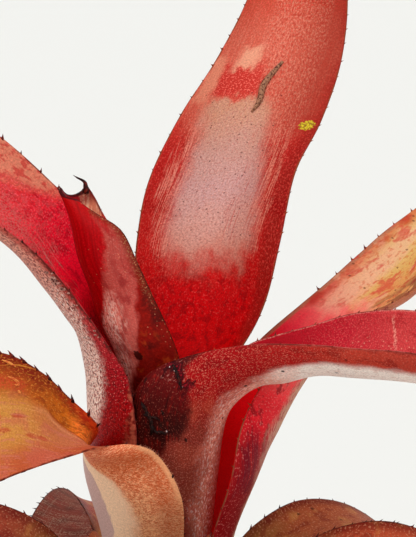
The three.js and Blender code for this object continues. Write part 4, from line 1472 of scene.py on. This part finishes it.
def turned(name, profile, sides):
    """Turned piece: a disc at the first ring, an extrusion and a scaling for each further one, closed."""
    (radius, z), rest = profile[0], profile[1:]
    bpy.ops.mesh.primitive_circle_add(
        vertices=sides, radius=radius * MM, fill_type="TRIFAN", location=(0, 0, 0))
    piece = added(name)
    bpy.ops.object.mode_set(mode="EDIT")
    bpy.ops.mesh.select_mode(type="EDGE")
    bpy.ops.mesh.select_all(action="SELECT")
    bpy.ops.transform.translate(value=(0, 0, z * MM))
    bpy.ops.mesh.region_to_loop()
    for next_radius, next_z in rest:
        bpy.ops.mesh.extrude_edges_move(TRANSFORM_OT_translate={"value": (0, 0, (next_z - z) * MM)})
        scale = next_radius / radius
        bpy.ops.transform.resize(value=(scale, scale, 1), center_override=(0, 0, next_z * MM))
        radius, z = next_radius, next_z
    bpy.ops.mesh.merge(type="CENTER")
    end_edit(outward=True)
    smooth(piece)
    return piece


def shade_by_angle(piece, degrees):
    take(piece)
    bpy.ops.object.shade_smooth_by_angle(angle=math.radians(degrees))


def pot_radius(z):
    return POT_FOOT + (POT_TOP - POT_FOOT) * z / POT_HEIGHT


pot = turned("pot_fine", [
    (39.4, 0), (40.3, 0.35), (40.9, 1.1), (41.2, 2.2), (pot_radius(14) - 0.05, 14), (pot_radius(30), 30),
    (pot_radius(46) + 0.05, 46), (pot_radius(62), 62), (pot_radius(76), 76), (pot_radius(87) + 0.1, 87),
    (pot_radius(89.4) + 0.5, 89.4), (57.6, 90.0), (59.0, 90.3), (59.8, 91.2), (60.0, 92.6), (59.9, 98),
    (60.0, 104), (59.9, 107.4), (59.5, 108.9), (58.4, 109.8), (57.0, 110.0), (54.6, 110.0), (53.2, 109.5),
    (52.4, 108.4), (52.0, 107), (pot_radius(90) - 4.5, 90), (pot_radius(60) - 4.5, 60),
    (pot_radius(20) - 4.5, 20), (pot_radius(9) - 5.2, 7.4), (pot_radius(6) - 8, 6), (4, 6),
], POT_SIDES)
bpy.ops.mesh.primitive_cylinder_add(vertices=24, radius=HOLE_RADIUS * MM, depth=20 * MM)
drill = added("drill")
for k in range(4):
    angle = math.radians(45 + 90 * k)
    drill.location = (HOLE_RING * MM * math.cos(angle), HOLE_RING * MM * math.sin(angle), 3 * MM)
    bpy.context.view_layer.update()
    apply_modifier(pot, "BOOLEAN", operation="DIFFERENCE", object=drill, solver="EXACT")
bpy.data.objects.remove(drill)
shade_by_angle(pot, 40)
dress(pot, clay_finish(), "pot")

mix_soil = turned("mix_bed", [
    (40, 6.6), (pot_radius(30) - 5, 30), (pot_radius(92) - 5, 92), (pot_radius(96) - 5, 96.4), (48, 97.4),
    (43, 98.0), (37, 98.4), (31, 98.6), (25, 98.9), (19, 99.2), (14, 99.4), (8.5, 99.5), (8.4, 74),
], MIX_SIDES)
points = positions(mix_soil.data)
for point in points:
    if point[2] > 95 * MM:
        lift = noise.noise(Vector(point) * 190) * 0.9 + noise.noise(Vector(point) * 420) * 0.5
        point[2] += lift * MM
set_positions(mix_soil.data, points)
set_attribute(mix_soil.data, "tone", np.full(len(points), 0.12))


def chip_shape():
    """One bark chip: a flat block with broken corners."""
    bpy.ops.mesh.primitive_cube_add(size=1)
    chip = added("chip")
    begin_edit()
    bpy.ops.transform.resize(value=(1.0, 0.62, 0.26), center_override=(0, 0, 0))
    bpy.ops.mesh.bevel(offset=0.1, segments=1)
    end_edit()
    return as_shape(chip)


def crumb_shape():
    bpy.ops.mesh.primitive_ico_sphere_add(subdivisions=1, radius=0.5)
    return as_shape(added("crumb"))


def scattered(name, shape, count, sizes, rng, tones, lift):
    """Copies of one shape over the mix, each turned, bent and sized by its own draw."""
    shape, shape_faces = shape
    points, faces, tone = [], [], []
    for k in range(count):
        reach = math.sqrt(rng.uniform(0.05, 1)) * MIX_RADIUS
        angle = k * GOLDEN_ANGLE + rng.uniform(-0.5, 0.5)
        size = rng.uniform(*sizes) * (0.6 if reach < FINER_WITHIN else 1)
        turn = Matrix.Rotation(rng.uniform(0, 6.28), 3, "Z") @ Matrix.Rotation(rng.gauss(0, 0.35), 3, "X")
        turn = turn @ Matrix.Rotation(rng.gauss(0, 0.3), 3, "Y")
        local = uneven(shape, 0.16, rng)
        local[:, 2] += rng.uniform(-0.25, 0.25) * local[:, 0] ** 2
        placed = local @ np.array(turn).T * size
        height = MIX_TOP - reach * MIX_FALL + rng.uniform(*lift)
        placed += [reach * math.cos(angle), reach * math.sin(angle), height]
        add_copy(points, faces, placed, shape_faces)
        tone.extend([rng.uniform(*tones)] * len(shape))
    piece = mesh_piece(name, points, faces)
    set_attribute(piece.data, "tone", tone)
    return piece


rng = random.Random(41)
chips = scattered("chips", chip_shape(), 330, (5.0, 12.0), rng, (0.1, 1.0), (0.0, 1.8))
mix_fine = join([mix_soil, chips], "potting_mix_fine")
shade_by_angle(mix_fine, 35)
dress(mix_fine, bark_finish(), "potting_mix")
crumbs = scattered("perlite_crumbs", crumb_shape(), 130, (1.8, 4.2), rng, (0, 1), (0.6, 2.2))
PERLITE = crusty_finish(
    "perlite", (236, 232, 222), (188, 180, 166), (1.6, 3, 0.7), (0.5, 0.66), (0.0004, 0.8), 0.95)
dress(crumbs, PERLITE)

stem_profile = [(7.0, 74), (7.9, 75), (7.9, 98)]
for k in range(11):  # rings left by old leaves
    rise = k * 2.5
    radius = 7.8 - rise * 0.105
    stem_profile += [(radius, 100.5 + rise), (radius - 0.45, 101.9 + rise)]
stem_profile += [(4.0, 129.2), (2.4, 130.6)]
stem = turned("stem_fine", stem_profile, STEM_SIDES)
dress(stem, stem_finish(), "stem")

# ---- what lies on the leaves ------------------------------------------------------------------


def on_leaf(leaf_name, side, along, lift=0.0):
    """A point on a leaf's face: lift is positive above the outer face, negative above the inner one."""
    blade = BLADES[leaf_name]
    face = math.copysign(blade.thickness / 2, lift) + lift
    return blade.point(side, along) + blade.normal(side, along) * face


def leaf_limb(name, leaf_name, lift, places, radii):
    """A limb that lies on a leaf, through (side, along) places."""
    return limb(name, [on_leaf(leaf_name, side, along, lift) for side, along in places], radii)


# dark debris in the tank, and one dark limb that stands for shadow in the crease
LITTER_AND_CREASE_SHADE = (
    ("leaf_right_front", 0.1, [(-0.88, 71), (-0.84, 70.6), (-0.79, 70), (-0.76, 69.2), (-0.74, 68.4)],
     (0.2, 0.45, 0.6, 0.6, 0.3)),
    ("leaf_right_front", 0.2, [(-0.78, 69.6), (-0.72, 68.6), (-0.7, 67), (-0.68, 65.4), (-0.7, 64.2)],
     (0.3, 0.6, 0.75, 0.65, 0.2)),
    ("leaf_right_front", 0.4, [(-0.8, 69), (-0.73, 68.9), (-0.68, 69.3), (-0.63, 69)],
     (0.2, 0.4, 0.45, 0.12)),
    ("leaf_right_front", 0.2, [(-0.68, 66), (-0.64, 65.2), (-0.6, 65.8), (-0.55, 65.5)],
     (0.3, 0.6, 0.6, 0.25)),
    ("leaf_right_front", 0.0, [(-0.64, 71.2), (-0.61, 70.8), (-0.62, 70)], (0.15, 0.35, 0.15)),
    ("leaf_right_front", 0.0, [(-0.36, 64.4), (-0.35, 63.9), (-0.34, 63.4)], (0.3, 0.5, 0.2)),
    # a dark limb along the crease: a dark piece put where the split lies in shadow
    ("leaf_right_front", 0.0, [(-0.94, 80.8), (-0.86, 80.5), (-0.76, 79.6), (-0.66, 78.8), (-0.58, 77.4)],
     (0.3, 0.7, 0.5, 0.65, 0.2)),
    ("leaf_heart", -0.3, [(0.45, 80.4), (0.47, 79.4), (0.49, 78.4), (0.48, 77.6)], (0.4, 0.7, 0.8, 0.4)),
    ("leaf_heart", -0.2, [(0.42, 76.2), (0.44, 75.6), (0.45, 75)], (0.3, 0.45, 0.3)),
)
litter_and_shade = join([leaf_limb("litter_and_shade", *row) for row in LITTER_AND_CREASE_SHADE], "tank_litter_and_shade")
points = positions(litter_and_shade.data)
knobbly = [noise.noise(Vector(p) * 900) * 0.4 * MM for p in points]
normals = np.array([vertex.normal[:] for vertex in litter_and_shade.data.vertices])
set_positions(litter_and_shade.data, points + normals * np.array(knobbly)[:, None])
DEBRIS_AND_SHADE = crusty_finish(
    "leaf_litter_and_shade", (24, 8, 6), (78, 28, 20), (1.1, 3, 0.7), (0.5, 0.68), (0.0003, 0.8), 0.5, 0.1)
dress(litter_and_shade, DEBRIS_AND_SHADE)

# painted highlights: small pale drops where the base glints
drops = []
for side, along, size in ((-0.55, 66.3, 0.6), (-0.92, 80, 0.35), (-0.84, 80, 0.4), (-0.6, 78.2, 0.35)):
    bpy.ops.mesh.primitive_uv_sphere_add(segments=12, ring_count=8, radius=0.5 * size * MM)
    drop = added("drop")
    flat = positions(drop.data) * (1.0, 1.0, 1.4)
    set_positions(drop.data, flat + on_leaf("leaf_right_front", side, along, 0.25) * MM)
    smooth(drop)
    drops.append(drop)
dress(join(drops, "tank_drop_glints"), drop_glint_finish())

SCAR = [
    (-0.1, 186.2), (-0.05, 183.6), (0.02, 180.2), (0.06, 176.6), (0.035, 172.6), (0.03, 169.4),
    (0.075, 166.4),
]
scar = leaf_limb("leaf_scar", "leaf_back_tall", -0.1, SCAR, (0.5, 0.8, 1.05, 1.2, 1.1, 0.9, 0.35))
dress(scar, scar_finish("corky_scar", (160, 112, 84), (82, 40, 30)))

WEALS = (
    ([(-0.88, 124.6), (-0.87, 123.2), (-0.85, 121.6), (-0.83, 120.2)], (0.15, 0.4, 0.45, 0.15)),
    ([(-0.62, 122.6), (-0.61, 121), (-0.58, 119.7), (-0.54, 119), (-0.5, 119.3), (-0.51, 120.4)],
     (0.15, 0.4, 0.45, 0.4, 0.45, 0.2)),
    ([(-0.42, 119), (-0.39, 118.6), (-0.36, 118.3)], (0.2, 0.5, 0.2)),
)
weals = join([leaf_limb("weal", "leaf_left_front", -0.05, *row) for row in WEALS], "leaf_weals")
dress(weals, scar_finish("orange_weal", (226, 140, 66), (196, 84, 40)))

SCAB_COUNT, HAIR_COUNT = 30, 110
HAIR_WIDTH = 0.07  # half of it
HAIR_FACES = ((0, 1, 2), (0, 3, 1), (1, 3, 2), (2, 3, 0))

rng = random.Random(5)
shape, shape_faces = crumb_shape()
scab_points, scab_faces = [], []
for _ in range(SCAB_COUNT):
    centre = on_leaf("leaf_left", rng.uniform(0.84, 0.99), rng.uniform(104, 124), 0.05)
    size = rng.uniform(0.6, 1.5)
    local = uneven(shape, 0.3, rng) * size
    add_copy(scab_points, scab_faces, centre + local * (1, 1, 0.7), shape_faces)
scabs = mesh_piece("leaf_scabs", scab_points, scab_faces)
smooth(scabs)
dress(scabs, scar_finish("dry_scab", (186, 132, 118), (74, 28, 24)))

rng = random.Random(7)
hair_points, hair_faces = [], []
blade = BLADES["leaf_left_front"]
for _ in range(HAIR_COUNT):
    along = rng.uniform(62, 80)
    root = blade.point(1.0, along)
    out = unit(root - blade.point(0.92, along))
    reach = out * rng.uniform(0.2, 0.8)
    tip = root + (reach + np.array([rng.gauss(0, 0.2), rng.gauss(0, 0.2), rng.gauss(0.1, 0.2)]))
    across = unit(blade.point(1.0, along + NEARBY) - root) * HAIR_WIDTH
    deep = blade.normal(0.98, along) * HAIR_WIDTH
    root = root - out * 0.4
    hair = np.array([root - across, root + across, root + deep, tip])
    add_copy(hair_points, hair_faces, hair, HAIR_FACES)
hairs = mesh_piece("sheath_hairs", hair_points, hair_faces)
dress(hairs, hair_finish())

# ---- stage, light and camera ------------------------------------------------------------------

deselect()
bpy.ops.mesh.primitive_plane_add(size=80, location=(0, 0, 0))
floor = added("studio_floor")
f = Finish("pale_floor")
floor.data.materials.append(f.shade(Base_Color=(0.825, 0.825, 0.8, 1), Roughness=0.9))

world = bpy.data.worlds.new("studio_world")
scene.world = world
world.use_nodes = True
sky = world.node_tree.nodes
background = sky["Background"]
direction = sky.new("ShaderNodeTexCoord")
split = sky.new("ShaderNodeSeparateXYZ")
height = sky.new("ShaderNodeMapRange")
for socket, value in (("From Min", 0.06), ("From Max", 0.5), ("To Min", 0.9), ("To Max", 0.35)):
    height.inputs[socket].default_value = value
world.node_tree.links.new(direction.outputs["Generated"], split.inputs[0])
world.node_tree.links.new(split.outputs[2], height.inputs["Value"])
world.node_tree.links.new(height.outputs[0], background.inputs["Strength"])
background.inputs["Color"].default_value = (1.0, 1.0, 0.98, 1)


def sun(name, azimuth, elevation, strength, spread):
    """Soft light from far away; azimuth 0 is straight in front (-Y), 90 from the right (+X)."""
    data = bpy.data.lights.new(name, "SUN")
    data.energy = strength
    data.angle = math.radians(spread)
    lamp = bpy.data.objects.new(name, data)
    scene.collection.objects.link(lamp)
    a, e = math.radians(azimuth), math.radians(elevation)
    towards = Vector((math.sin(a) * math.cos(e), -math.cos(a) * math.cos(e), math.sin(e)))
    lamp.rotation_euler = towards.to_track_quat("Z", "Y").to_euler()
    return lamp


sun("key_light", -35, 50, 1.6, 50)
sun("fill_light", 50, 35, 0.9, 70)
sun("top_light", 160, 70, 0.5, 60)

camera_data = bpy.data.cameras.new("camera")
camera_data.lens = 189.3
camera_data.sensor_width = 36
camera_data.sensor_fit = "HORIZONTAL"
camera_data.clip_start, camera_data.clip_end = 0.05, 200
camera = bpy.data.objects.new("camera", camera_data)
camera.location = (0.01216, -0.6932, 0.3279)
camera.rotation_euler = (math.radians(82), 0, 0)
scene.collection.objects.link(camera)
scene.camera = camera
scene.view_settings.view_transform = "Standard"
scene.view_settings.look = "None"
